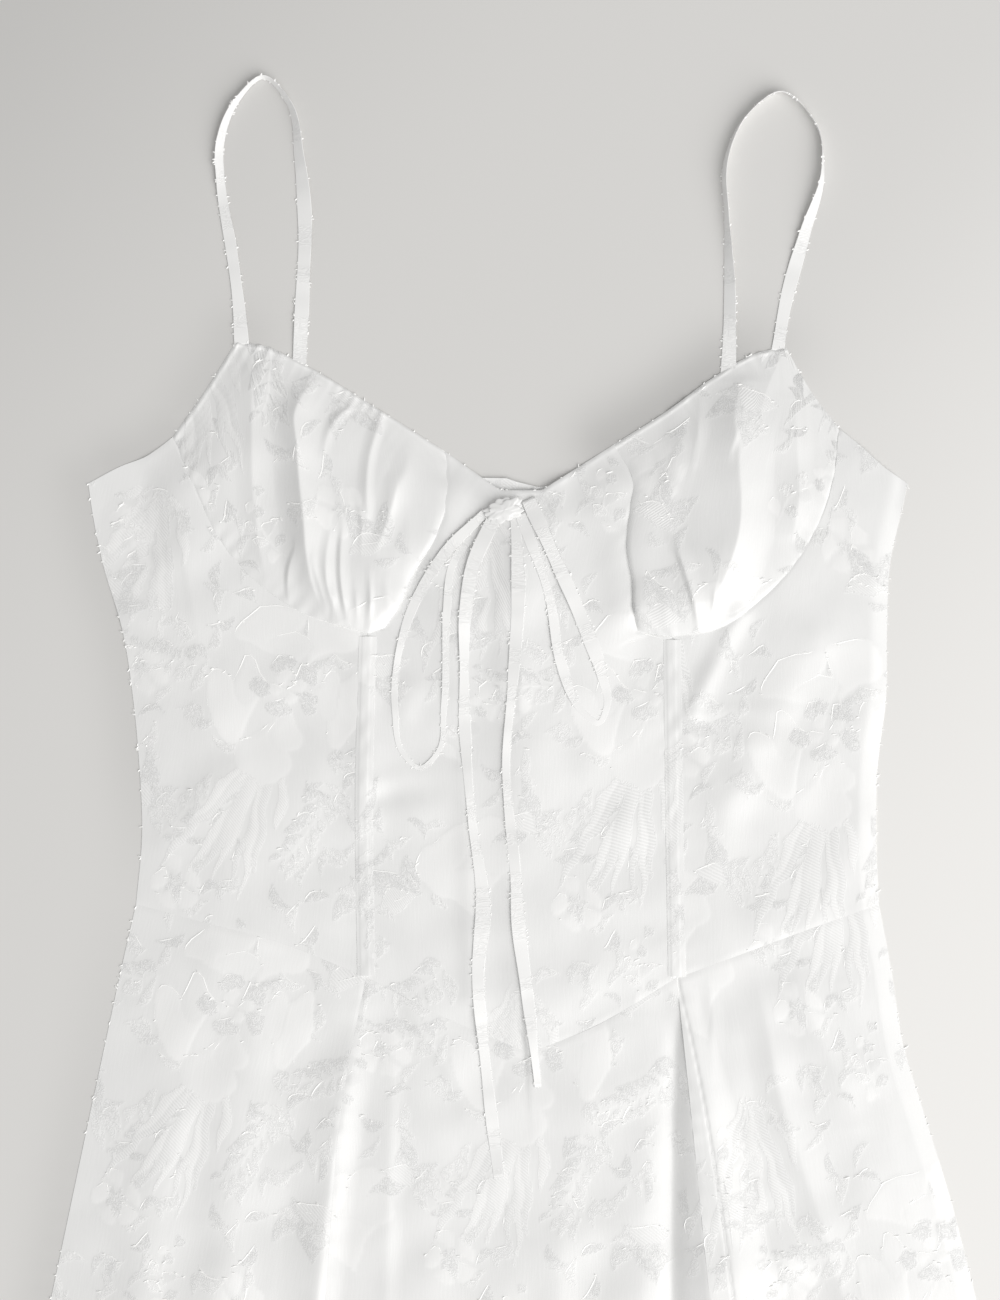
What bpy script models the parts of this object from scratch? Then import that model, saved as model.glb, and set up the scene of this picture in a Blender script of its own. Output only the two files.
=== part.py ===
"""Midi dress in satin, laid flat on its back, with gathered cups, a boned front, a tie and a gored skirt.

The neck lies towards +Y, the hem towards -Y, and the front faces up (+Z). Left and right are as seen
from above. Every panel is a wall of cloth on a four-sided patch between its seams, and the tables are in
millimetres.
"""

import math
from collections import namedtuple

import bpy
import numpy as np
from mathutils import Vector
from mathutils.bvhtree import BVHTree

MM = 0.001

# Driving dimensions
CLOTH = 1.0  # wall of every panel
GAP = 0.3  # between pieces at a seam, and between layers
BUST_Y = 211.0  # underarm corners, above the waist's side points at Y 0
HEM_CENTRE_Y = -765.0
HEM_SIDE_RISE = 38.0  # how far the hem's side corners lie above its middle
HEM_LEFT_X = -350.0
HEM_RIGHT_X = 354.0
CHANNEL_WIDTH = 8.5
STRAP_WIDTH = 7.5
STRAP_THICKNESS = 1.0
TIE_WIDTH = 7.0
LOFT = 1.6  # air between the layers, away from the side seams
CUP_PUFF = 7.0
CUP_RISE = 0.07  # shares of a cup over which it puffs up: from the seam below it, its armhole, its inner seam
CUP_ARMHOLE_RISE = 0.18
CUP_INNER_RISE = 0.012
CUP_NECK_FALL = 0.85  # share of the puff that is gone at the neck edge
STEEPEST = 2.0  # most that a wall's rise grows on a slope
PLEAT_TUCK = 14.0  # how far the middle gore runs in under the right gore's folded edge
PLEAT_START = 16.0  # from here below the waist, over that length
PLEAT_LENGTH = 90.0
PLEAT_RISE = 5.5  # height of that edge, which it reaches over a length and loses over a width
PLEAT_RISE_LENGTH = 20.0
PLEAT_RISE_WIDTH = 17.0

# Cells along each seam
PRINCESS_CELLS = 10
OUTER_CUP_CELLS = 54
UNDERBUST_CELLS = 3  # from the channel to the cup's inner seam
CUP_ROWS = 12
UNDERARM_CELLS = 4
NECK_LEFT_CELLS = 6
NECK_FLAT_CELLS = 3
NECK_RIGHT_CELLS = 7
SKIRT_ROWS = 14
SKIRT_CENTRE_CELLS = 22
SKIRT_SIDE_CELLS = 10
BACK_CELLS = 4
ROW_CROWDING = 1.45  # rows of the skirt crowd towards the waist
SEAM_CROWDING = 0.5  # and columns of a cup towards its gathers

# Corners that several seams share
NECK_LEFT = (-6.5, 207.5)
NECK_RIGHT = (14.5, 207.5)
CUP_NECK_LEFT = (-34.0, 227.0)  # where each cup's inner seam meets the neck
CUP_NECK_RIGHT = (50.5, 230.5)
CUP_FOOT_LEFT = (-64.0, 138.5)  # where it meets the underbust
CUP_FOOT_RIGHT = (62.5, 136.5)
APEX_LEFT = (-139.0, 282.0)
APEX_RIGHT = (137.0, 279.0)
ARM_SEAM_LEFT = (-170.5, 234.5)
ARM_SEAM_RIGHT = (163.5, 238.7)
UNDERBUST_LEFT = (-72.5, 136.0)
UNDERBUST_RIGHT = (79.5, 134.3)
WAIST_PRINCESS_LEFT = (-73.5, -36.0)
WAIST_PRINCESS_RIGHT = (82.0, -36.5)
WAIST_POINT = (7.5, -74.0)
BACK_SEAM_X = 2.0
BACK_NECK_Y = 212.5

# Where the two sides of the laid dress are at each level
Side = namedtuple("Side", "y left right")
BODICE_SIDES = (
    Side(0, -189, 183.5),
    Side(35, -186, 182),
    Side(71, -187.5, 183),
    Side(103, -190.5, 187),
    Side(138, -196, 187.5),
    Side(170, -205.5, 189),
    Side(200, -211.5, 195.5),
    Side(BUST_Y, -213, 198),
)
SKIRT_SIDES = (
    Side(0, -189, 183.5),
    Side(-35, -197, 190),
    Side(-70, -204.5, 195.5),
    Side(-100, -211, 204.5),
    Side(-145, -220.5, 218.5),
    Side(-197, -231.5, 232),
    Side(HEM_CENTRE_Y + HEM_SIDE_RISE, HEM_LEFT_X, HEM_RIGHT_X),
)

# Seams, as the points that each one runs through
NECK_EDGE_LEFT = (APEX_LEFT, (-125, 280), (-106.5, 271.5), (-66.5, 247.5), CUP_NECK_LEFT)
NECK_EDGE_RIGHT = (APEX_RIGHT, (126, 277.5), (98.3, 262.7), (79, 248.5), CUP_NECK_RIGHT)
ARMHOLE_LEFT = (ARM_SEAM_LEFT, (-153, 259.5), APEX_LEFT)
ARMHOLE_RIGHT = (ARM_SEAM_RIGHT, (150, 256.5), APEX_RIGHT)
UNDERARM_LEFT = ((-213, BUST_Y), (-197, 219.5), (-183, 225), ARM_SEAM_LEFT)
UNDERARM_RIGHT = ((198, BUST_Y), (187.5, 218), (175, 229.2), ARM_SEAM_RIGHT)
OUTER_CUP_LEFT = (ARM_SEAM_LEFT, (-161.5, 214), (-148, 185), (-130, 163), (-108, 147.5), UNDERBUST_LEFT)
OUTER_CUP_RIGHT = (ARM_SEAM_RIGHT, (160, 212), (148, 181.5), (124, 152.7), (103, 138.5), UNDERBUST_RIGHT)
INNER_CUP_LEFT = (
    CUP_FOOT_LEFT,
    (-56, 151),
    (-48, 168),
    (-39, 183),
    (-34.5, 196),
    (-33, 210),
    CUP_NECK_LEFT,
)
INNER_CUP_RIGHT = (
    CUP_FOOT_RIGHT,
    (60, 148),
    (59.5, 161),
    (56.5, 178),
    (58.5, 198),
    (60, 212),
    CUP_NECK_RIGHT,
)
PRINCESS_LEFT = (WAIST_PRINCESS_LEFT, (-74.5, 52.5), UNDERBUST_LEFT)
PRINCESS_RIGHT = (WAIST_PRINCESS_RIGHT, (80.5, 52.5), UNDERBUST_RIGHT)
WAIST_LEFT = ((-189, 0), (-156, -8.5), (-119.5, -18), WAIST_PRINCESS_LEFT)
WAIST_RIGHT = (WAIST_PRINCESS_RIGHT, (113.5, -25), (150, -11.5), (183.5, 0))
WAIST_POINT_LEFT = (WAIST_PRINCESS_LEFT, (-40, -53.5), WAIST_POINT)
WAIST_POINT_RIGHT = (WAIST_POINT, (40, -61), WAIST_PRINCESS_RIGHT)
GORE_LEFT = ((-84, -90), (-94, -197.5), (-150, None))
GORE_RIGHT = ((89, -105), (98, -197.5), (160, None))

# Ridges of the front, from their upper to their lower end
Fold = namedtuple("Fold", "x0 y0 width0 height0 x1 y1 width1 height1")
FRONT_FOLDS = (
    Fold(-165, -60, 12, 0.6, -290, -738, 28, 7),
    Fold(-131, -47, 10, 0.8, -215, -752, 27, 8),
    Fold(-70, -50, 6, 1.6, -152, -760, 26, 9),
    Fold(-50, -58, 5, 1.4, -22, -105, 8, 1.0),
    Fold(-30, -95, 9, 1.0, -62, -762, 27, 8),
    Fold(38, -61, 6, 1.8, 22, -765, 26, 8.5),
    Fold(74, -47, 7, 2.2, 92, -760, 22, 8),
    Fold(141, -43, 9, 1.4, 292, -740, 28, 8),
    Fold(123, 132, 8, 1.6, 93, 85, 6, 1.0),
    Fold(-66, 54, 5, 1.0, -36, 62, 9, 0.8),
)
RIGHT_GORE_FOLDS = (
    Fold(101, -43, 7, 2.0, 222, -755, 27, 9),
)
# Gathers and troughs of the cups
CUP_FOLDS_LEFT = (
    Fold(-125.5, 272, 6, 1.0, -125.5, 202, 6, 1.4),
    Fold(-114.5, 250, 6, -4.0, -108, 157, 5.5, -6.0),
    Fold(-104.5, 242, 5, 2.0, -91, 152, 4.5, 2.6),
    Fold(-87.5, 181, 2.4, -1.4, -84.5, 141, 2.4, -2.6),
    Fold(-86, 236, 5, 1.2, -79, 190, 5, 1.0),
    Fold(-70, 240, 4, 1.6, -70, 188, 4, 1.0),
    Fold(-58, 222, 4.5, 2.0, -65.5, 150, 4.5, 2.8),
    Fold(-69, 163, 2.4, -1.4, -65.5, 143, 2.4, -2.6),
    Fold(-53.5, 208, 3, -1.4, -57.5, 170, 3, -1.4),
    Fold(-45, 230, 3.5, 1.8, -47, 177, 3.5, 1.8),
    Fold(-35.5, 226, 3, 2.4, -38, 190, 3, 1.6),
)
CUP_FOLDS_RIGHT = (
    Fold(123, 270, 8, 3.4, 101.5, 147, 7, 4.4),
    Fold(135, 262, 6, -1.6, 134, 187, 6, -2.2),
    Fold(106, 256, 5, -1.6, 104, 228, 5, -0.8),
    Fold(92, 252, 6, 1.4, 93.5, 212, 6, 0.8),
    Fold(76, 245, 5.5, -2.0, 77.5, 202, 4, -1.2),
    Fold(71, 195, 2.8, -1.8, 89.5, 145, 2.4, -3.0),
    Fold(69, 193, 4.5, 1.4, 81, 152, 4.5, 2.0),
    Fold(64, 222, 3.5, 2.0, 60.5, 172, 4, 2.0),
    Fold(67, 160, 2.4, 1.2, 67, 138, 2.4, 1.8),
    Fold(98.5, 155, 2.2, -0.8, 98.5, 143, 2.2, -1.8),
)

# How the gathers run: shares of the seam below a cup, from the armhole, and of the neck edge above them
Flow = namedtuple("Flow", "seam neck")
CUP_FLOW_LEFT = (
    Flow(0, 0),
    Flow(0.70, 0.23),
    Flow(0.81, 0.32),
    Flow(0.87, 0.48),
    Flow(0.97, 0.80),
    Flow(1, 1),
)
CUP_FLOW_RIGHT = (
    Flow(0, 0),
    Flow(0.62, 0.06),
    Flow(0.80, 0.17),
    Flow(0.88, 0.55),
    Flow(1, 1),
)

# Routes of the flat bands: roll stands the band on its edge, lift is the clearance under its lowest edge
Stop = namedtuple("Stop", "x y roll lift")
STRAP_LEFT = (
    Stop(-136.2, 282.9, 0, 1.3),
    Stop(-137.5, 300, 6, 0.9),
    Stop(-141, 327, 25, 0.2),
    Stop(-146.5, 361.5, 55, 0.1),
    Stop(-147, 380, 70, 0.1),
    Stop(-138.5, 402.5, 80, 0.1),
    Stop(-125, 414.5, 86, 0.1),
    Stop(-112.5, 402, 75, 0.1),
    Stop(-107, 374, 32, 0),
    Stop(-104.3, 342, 8, 0),
    Stop(-105.5, 307.5, 0, 0),
    Stop(-107.5, 262, 0, 0),
    Stop(-108.5, BACK_NECK_Y + 0.4, 0, 0),
)
STRAP_RIGHT = (
    Stop(133.2, 280.2, 0, 1.3),
    Stop(136.5, 300.5, 4, 0.8),
    Stop(146.5, 337, 22, 0.1),
    Stop(155, 366.5, 80, 0.1),
    Stop(152, 390, 84, 0.1),
    Stop(134, 407, 86, 0.1),
    Stop(116.5, 394.5, 84, 0.1),
    Stop(106.5, 372, 75, 0.1),
    Stop(107, 344.5, 66, 0.1),
    Stop(108.5, 312, 35, 0.1),
    Stop(108.5, 284, 12, 0),
    Stop(107.5, 255, 0, 0),
    Stop(107, BACK_NECK_Y + 0.4, 0, 0),
)
TIE_LOOP_LEFT = (
    Stop(-15.5, 196.5, 10, 1.7),
    Stop(-33, 177, 10, 1.6),
    Stop(-48, 153.5, 20, 0.4),
    Stop(-58, 121.5, 50, 0.3),
    Stop(-59, 98, 60, 0.3),
    Stop(-54.5, 75, 65, 0.3),
    Stop(-46.5, 68.5, 68, 0.3),
    Stop(-38.5, 75, 65, 0.3),
    Stop(-34.5, 100, 60, 0.3),
    Stop(-33, 147.5, 50, 0.3),
    Stop(-30.5, 169.5, 20, 0.3),
    Stop(-15.5, 190.5, 8, 0.3),
)
TIE_LOOP_RIGHT = (
    Stop(11.2, 197.5, 10, 1.7),
    Stop(21.5, 172, 8, 1.6),
    Stop(33, 146, 5, 0.4),
    Stop(44.5, 114.5, 20, 0.3),
    Stop(47, 100, 55, 0.3),
    Stop(42.5, 91, 68, 0.3),
    Stop(36, 95.5, 60, 0.3),
    Stop(23.5, 122.5, 20, 0.3),
    Stop(18.5, 152.5, 10, 0.3),
    Stop(8.5, 188, 5, 0.3),
)
TIE_TAIL_LEFT = (
    Stop(-10.5, 190.5, 5, 3.2),
    Stop(-20.5, 168, 5, 2.4),
    Stop(-23.5, 147.5, 20, 0.4),
    Stop(-24.5, 115, 55, 0.3),
    Stop(-24, 87.5, 15, 0.3),
    Stop(-20.5, 42.5, 10, 0.3),
    Stop(-15, 0, 5, 0.3),
    Stop(-17.5, -35, 25, 0.3),
    Stop(-14.5, -72.5, 10, 0.3),
    Stop(-7, -136.5, 5, 0.3),
)
TIE_TAIL_RIGHT = (
    Stop(1.5, 190.5, 5, 0.3),
    Stop(2.5, 152.5, 5, 0.3),
    Stop(0.5, 120, 20, 0.3),
    Stop(-3.5, 68, 60, 0.3),
    Stop(1, 17.5, 10, 0.3),
    Stop(2.5, -7.5, 10, 0.3),
    Stop(7.5, -47.5, 45, 0.3),
    Stop(12.5, -91, 55, 0.3),
)
KNOT_CENTRE = (-3.0, 198.5)
KNOT_RADII = (11.0, 6.0, 3.4)
KNOT_PINCH = 0.12
KNOT_TURNS = 14
KNOT_RINGS = 6
STRAP_STEPS = 60
LOOP_STEPS = 48
TAIL_STEPS = 40
CHANNEL_STEPS = 18
CHANNEL_START = 0.01  # shares of the princess seam, from the waist
CHANNEL_END = 0.985

SATIN_COLOUR = (0.86, 0.86, 0.85, 1.0)
SATIN_ROUGHNESS = 0.45
TRIM_COLOUR = (0.88, 0.88, 0.87, 1.0)
TRIM_ROUGHNESS = 0.4


def material(name, colour, roughness):
    made = bpy.data.materials.new(name)
    made.use_nodes = True
    shader = made.node_tree.nodes["Principled BSDF"]
    shader.inputs["Base Color"].default_value = colour
    shader.inputs["Roughness"].default_value = roughness
    shader.inputs["Metallic"].default_value = 0.0
    made.diffuse_color = colour
    return made


def through(points, shares):
    """Points at those shares of the length of a smooth curve that runs through the given ones."""
    stops = np.array(points, float)
    along = np.concatenate([[0], np.cumsum(np.linalg.norm(np.diff(stops[:, :2], axis=0), axis=1))])
    if len(stops) > 2:
        slopes = np.gradient(stops, along, axis=0)
        at = np.linspace(0, along[-1], 60 * len(stops))
        k = np.clip(np.searchsorted(along, at, "right") - 1, 0, len(stops) - 2)
        step = (along[k + 1] - along[k])[:, None]
        a = (at - along[k])[:, None] / step
        curve = (2 * a**3 - 3 * a**2 + 1) * stops[k] + (a**3 - 2 * a**2 + a) * step * slopes[k]
        curve += (3 * a**2 - 2 * a**3) * stops[k + 1] + (a**3 - a**2) * step * slopes[k + 1]
    else:
        curve = stops
    length = np.concatenate([[0], np.cumsum(np.linalg.norm(np.diff(curve[:, :2], axis=0), axis=1))])
    wanted = np.asarray(shares) * length[-1]
    return np.stack([np.interp(wanted, length, curve[:, i]) for i in range(curve.shape[1])], axis=1)


def even(cells):
    return np.linspace(0, 1, cells + 1)


def chain(*edges):
    """One edge out of several that follow each other and share their end points."""
    return np.concatenate([edges[0]] + [edge[1:] for edge in edges[1:]])


def hem_y(x):
    """The hem is an arc, its side corners above its middle."""
    middle = (HEM_LEFT_X + HEM_RIGHT_X) / 2
    return HEM_CENTRE_Y + HEM_SIDE_RISE * ((x - middle) / (HEM_RIGHT_X - middle)) ** 2


def hem_edge(start, end, cells):
    x = np.linspace(start, end, cells + 1)
    return np.stack([x, hem_y(x)], axis=1)


def patch(bottom, top, left, right, across, up):
    """Grid of points between four edges. across and up are the shares of the columns and rows."""
    u, v = across[None, :, None], up[:, None, None]
    ruled = (1 - v) * bottom[None] + v * top[None] + (1 - u) * left[:, None] + u * right[:, None]
    corners = (1 - v) * ((1 - u) * bottom[0] + u * bottom[-1]) + v * ((1 - u) * top[0] + u * top[-1])
    return ruled - corners


def inset(grid, distance):
    """The grid with its border moved in by that distance, which leaves the gap of a seam."""
    moved = grid.copy()
    centre_u, centre_v = np.gradient(grid, axis=1), np.gradient(grid, axis=0)

    def inwards(tangent, towards):
        normal = np.stack([-tangent[:, 1], tangent[:, 0]], axis=1)
        normal /= np.linalg.norm(normal, axis=1)[:, None]
        return normal * np.sign((normal * towards).sum(1))[:, None] * distance

    moved[0] += inwards(centre_u[0], centre_v[0])
    moved[-1] += inwards(centre_u[-1], -centre_v[-1])
    moved[:, 0] += inwards(centre_v[:, 0], centre_u[:, 0])
    moved[:, -1] += inwards(centre_v[:, -1], -centre_u[:, -1])
    return moved


def side_x(y, column):
    """X of the dress's side at each height: column 1 is the left side, 2 the right one."""
    rows = np.array(SKIRT_SIDES[:0:-1] + BODICE_SIDES, float)
    return np.interp(y, rows[:, 0], rows[:, column])


def ridge(x, y, fold):
    """Height of one fold: a bell across the line between its ends, which changes along it."""
    along = np.array([fold.x1 - fold.x0, fold.y1 - fold.y0], float)
    t = np.clip(((x - fold.x0) * along[0] + (y - fold.y0) * along[1]) / (along @ along), 0, 1)
    away = np.hypot(x - fold.x0 - t * along[0], y - fold.y0 - t * along[1])
    width = fold.width0 + t * (fold.width1 - fold.width0)
    height = fold.height0 + t * (fold.height1 - fold.height0)
    return height * np.exp(-((away / width) ** 2))


def front_underside(x, y):
    """Height of the front's underside: a gap above the back, a little air, and the folds."""
    left, right = side_x(y, 1), side_x(y, 2)
    across = np.clip((2 * x - left - right) / (right - left), -1, 1)
    swell = (1 - across**6) * LOFT
    return CLOTH + GAP + swell + sum(ridge(x, y, fold) for fold in FRONT_FOLDS)


def cup_underside(grid, folds, across, up):
    """The cup puffs up from its seams and comes down to the neck edge, and its gathers run over that."""
    u, v = across[None, :], up[:, None]
    puff = CUP_PUFF * (1 - np.exp(-v / CUP_RISE)) * (1 - CUP_NECK_FALL * v)
    puff = puff * (1 - np.exp(-u / CUP_ARMHOLE_RISE)) * (1 - np.exp(-(1 - u) / CUP_INNER_RISE))
    x, y = grid[..., 0], grid[..., 1]
    held = np.minimum(1, 3 * v) * np.minimum(1, 12 * (1 - u))  # the seams hold the gathers down
    height = front_underside(x, y) + puff + held * sum(ridge(x, y, fold) for fold in folds)
    return np.maximum(height, CLOTH + GAP)


def mesh_object(name, points, faces, surface):
    mesh = bpy.data.meshes.new(name)
    mesh.from_pydata((np.asarray(points) * MM).tolist(), [], faces)
    mesh.update()
    mesh.shade_smooth()
    mesh.set_sharp_from_angle(angle=math.radians(40))
    mesh.materials.append(surface)
    made = bpy.data.objects.new(name, mesh)
    bpy.context.scene.collection.objects.link(made)
    return made


def wall(name, grid, underside, surface):
    """A closed wall of cloth over the grid. It rises more on a slope, which keeps the cloth's thickness."""
    sheet = np.concatenate([grid, underside[..., None]], axis=2)
    normal = np.cross(np.gradient(sheet, axis=1), np.gradient(sheet, axis=0))
    steep = np.linalg.norm(normal, axis=2) / np.abs(normal[..., 2])
    upper = sheet.copy()
    upper[..., 2] += CLOTH * np.minimum(steep, STEEPEST)
    rows, columns = underside.shape
    count = rows * columns
    number = np.arange(count).reshape(rows, columns)
    lower_left, lower_right = number[:-1, :-1].ravel(), number[:-1, 1:].ravel()
    upper_left, upper_right = number[1:, :-1].ravel(), number[1:, 1:].ravel()
    faces = np.stack([lower_left, lower_right, upper_right, upper_left], axis=1)
    border = np.concatenate([number[0], number[1:, -1], number[-1, -2::-1], number[-2:0:-1, 0]])
    following = np.roll(border, -1)
    rim = np.stack([border + count, following + count, following, border], axis=1)
    turned = np.sign(normal[..., 2].mean())
    faces = np.concatenate([faces, (faces + count)[:, ::-1], rim])
    if turned < 0:
        faces = faces[:, ::-1]
    points = np.concatenate([upper.reshape(-1, 3), sheet.reshape(-1, 3)])
    return mesh_object(name, points, faces.tolist(), surface)


def height_over(objects):
    """A function that gives the height of those objects' upper faces, in millimetres, at any place."""
    trees = []
    for made in objects:
        places = [vertex.co for vertex in made.data.vertices]
        trees.append(BVHTree.FromPolygons(places, [list(face.vertices) for face in made.data.polygons]))

    def height(x, y):
        start, down = Vector((x * MM, y * MM, 1.0)), Vector((0, 0, -1))
        found = [tree.ray_cast(start, down)[0] for tree in trees]
        return max([place.z / MM for place in found if place is not None], default=0.0)

    return height


def highest(route, aside, height):
    """The highest place under a strip at each of its steps and beside it, from one edge to the other."""
    shares = np.linspace(-1, 1, 7)
    under = np.max([[height(*place) for place in route + aside * share] for share in shares], axis=0)
    beside = np.pad(under, 1, mode="edge")
    return np.maximum(np.maximum(beside[:-2], beside[2:]), under)


def band(name, stops, width, thickness, steps, surface, height=None):
    """A flat band along its stops. It lies on the pieces that height knows, or else on the ground."""
    route = through([tuple(stop) for stop in stops], even(steps))
    plan, roll, lift = route[:, :2], np.radians(route[:, 2]), route[:, 3]
    forward = np.gradient(plan, axis=0)
    forward /= np.linalg.norm(forward, axis=1)[:, None]
    aside = np.stack([-forward[:, 1], forward[:, 0]], axis=1)
    flat, stood = np.cos(roll)[:, None], np.sin(roll)[:, None]
    wide = np.concatenate([aside * flat, stood], axis=1) * width / 2
    thick = np.concatenate([-aside * stood, flat], axis=1) * thickness / 2
    low = np.abs(wide[:, 2]) + np.abs(thick[:, 2])
    if height is None:
        floor = np.zeros(len(plan))
    else:
        reach = np.abs(np.cos(roll)) * width / 2 + np.abs(np.sin(roll)) * thickness / 2
        floor = highest(plan, aside * reach[:, None], height)
    middle = np.concatenate([plan, (floor + lift + low)[:, None]], axis=1)
    corners = [middle - wide - thick, middle - wide + thick, middle + wide + thick, middle + wide - thick]
    rings = np.stack(corners, axis=1)
    count = len(rings)
    faces = [[0, 1, 2, 3], [4 * count - 1, 4 * count - 2, 4 * count - 3, 4 * count - 4]]
    for i in range(count - 1):
        for k in range(4):
            here, beside = 4 * i + k, 4 * i + (k + 1) % 4
            faces.append([here, here + 4, beside + 4, beside])
    return mesh_object(name, rings.reshape(-1, 3), faces, surface)


def channel(name, seam, height, surface):
    """A boning channel: a strip stitched over the princess seam, made from the panels' own height."""
    route = through(seam, np.linspace(CHANNEL_START, CHANNEL_END, CHANNEL_STEPS + 1))
    half = np.array([CHANNEL_WIDTH / 2, 0.0])
    floor = highest(route, half, height) + GAP
    grid = np.stack([route - half, route, route + half], axis=1)
    return wall(name, grid, np.repeat(floor[:, None], 3, axis=1), surface)


def knot(name, height, surface):
    """The bow's knot: a flattened ball with a pinch where the loops leave it."""
    x, y = KNOT_CENTRE
    spots = [(x + dx, y + dy) for dx in (-8, 0, 8) for dy in (-4, 0, 4)]
    base = max(height(*spot) for spot in spots) + GAP
    turns = KNOT_TURNS
    points, faces = [(x, y, base)], []
    for i in range(1, KNOT_RINGS):
        tilt = math.pi * i / KNOT_RINGS
        for k in range(turns):
            turn = 2 * math.pi * k / turns
            pinch = 1 - KNOT_PINCH * math.cos(2 * turn) ** 2
            px = x + KNOT_RADII[0] * math.sin(tilt) * math.cos(turn) * pinch
            py = y + KNOT_RADII[1] * math.sin(tilt) * math.sin(turn)
            points.append((px, py, base + KNOT_RADII[2] * (1 - math.cos(tilt))))
    points.append((x, y, base + 2 * KNOT_RADII[2]))
    last = len(points) - 1
    for k in range(turns):
        beside = (k + 1) % turns
        faces.append([0, 1 + beside, 1 + k])
        faces.append([last, last - turns + k, last - turns + beside])
        for i in range(KNOT_RINGS - 2):
            first = 1 + i * turns
            faces.append([first + k, first + beside, first + turns + beside, first + turns + k])
    return mesh_object(name, points, faces, surface)


def bodice_front(satin):
    """Middle panel, which reaches up between the cups to the neck, side panels and cups."""
    up, outer_cells = even(CUP_ROWS), even(OUTER_CUP_CELLS)
    outer_cells += SEAM_CROWDING * outer_cells * (1 - outer_cells)
    outer = {"left": through(OUTER_CUP_LEFT, outer_cells), "right": through(OUTER_CUP_RIGHT, outer_cells)}
    foot = {
        "left": np.linspace(UNDERBUST_LEFT, CUP_FOOT_LEFT, UNDERBUST_CELLS + 1),
        "right": np.linspace(UNDERBUST_RIGHT, CUP_FOOT_RIGHT, UNDERBUST_CELLS + 1),
    }
    inner = {"left": through(INNER_CUP_LEFT, up), "right": through(INNER_CUP_RIGHT, up)}
    princess_rows = even(PRINCESS_CELLS)
    princess = {
        "left": through(PRINCESS_LEFT, princess_rows),
        "right": through(PRINCESS_RIGHT, princess_rows),
    }
    made = []

    across = even(NECK_LEFT_CELLS + NECK_FLAT_CELLS + NECK_RIGHT_CELLS)
    half = even(len(across) // 2)
    point = chain(through(WAIST_POINT_LEFT, half), through(WAIST_POINT_RIGHT, half))
    neck = chain(
        np.linspace(CUP_NECK_LEFT, NECK_LEFT, NECK_LEFT_CELLS + 1),
        np.linspace(NECK_LEFT, NECK_RIGHT, NECK_FLAT_CELLS + 1),
        np.linspace(NECK_RIGHT, CUP_NECK_RIGHT, NECK_RIGHT_CELLS + 1),
    )
    sides = [chain(princess[side], foot[side], inner[side]) for side in ("left", "right")]
    grid = inset(patch(point, neck, *sides, across, even(len(sides[0]) - 1)), GAP / 2)
    made.append(wall("bodice_front_centre", grid, front_underside(grid[..., 0], grid[..., 1]), satin))

    columns = even(UNDERARM_CELLS + OUTER_CUP_CELLS // 2)
    underarm = even(UNDERARM_CELLS)
    side = through([(row.left, row.y) for row in BODICE_SIDES], princess_rows)
    top = chain(through(UNDERARM_LEFT, underarm), outer["left"][::2])
    grid = patch(through(WAIST_LEFT, columns), top, side, princess["left"], columns, princess_rows)
    grid = inset(grid, GAP / 2)
    made.append(wall("bodice_side_left", grid, front_underside(grid[..., 0], grid[..., 1]), satin))
    side = through([(row.right, row.y) for row in BODICE_SIDES], princess_rows)
    top = chain(through(UNDERARM_RIGHT, underarm), outer["right"][::2])[::-1]
    grid = patch(through(WAIST_RIGHT, columns), top, princess["right"], side, columns, princess_rows)
    grid = inset(grid, GAP / 2)
    made.append(wall("bodice_side_right", grid, front_underside(grid[..., 0], grid[..., 1]), satin))

    columns = even(OUTER_CUP_CELLS + UNDERBUST_CELLS)
    for side, neck_edge, armhole, folds, flow in (
        ("left", NECK_EDGE_LEFT, ARMHOLE_LEFT, CUP_FOLDS_LEFT, CUP_FLOW_LEFT),
        ("right", NECK_EDGE_RIGHT, ARMHOLE_RIGHT, CUP_FOLDS_RIGHT, CUP_FLOW_RIGHT),
    ):
        below = chain(outer[side], foot[side])
        along = np.concatenate([[0], np.cumsum(np.linalg.norm(np.diff(below, axis=0), axis=1))])
        above = through(neck_edge, np.interp(along / along[-1], *zip(*flow)))
        grid = patch(below, above, through(armhole, up), inner[side], columns, up)
        grid = inset(grid, GAP / 2)
        made.append(wall("cup_" + side, grid, cup_underside(grid, folds, columns, up), satin))
    return made


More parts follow.
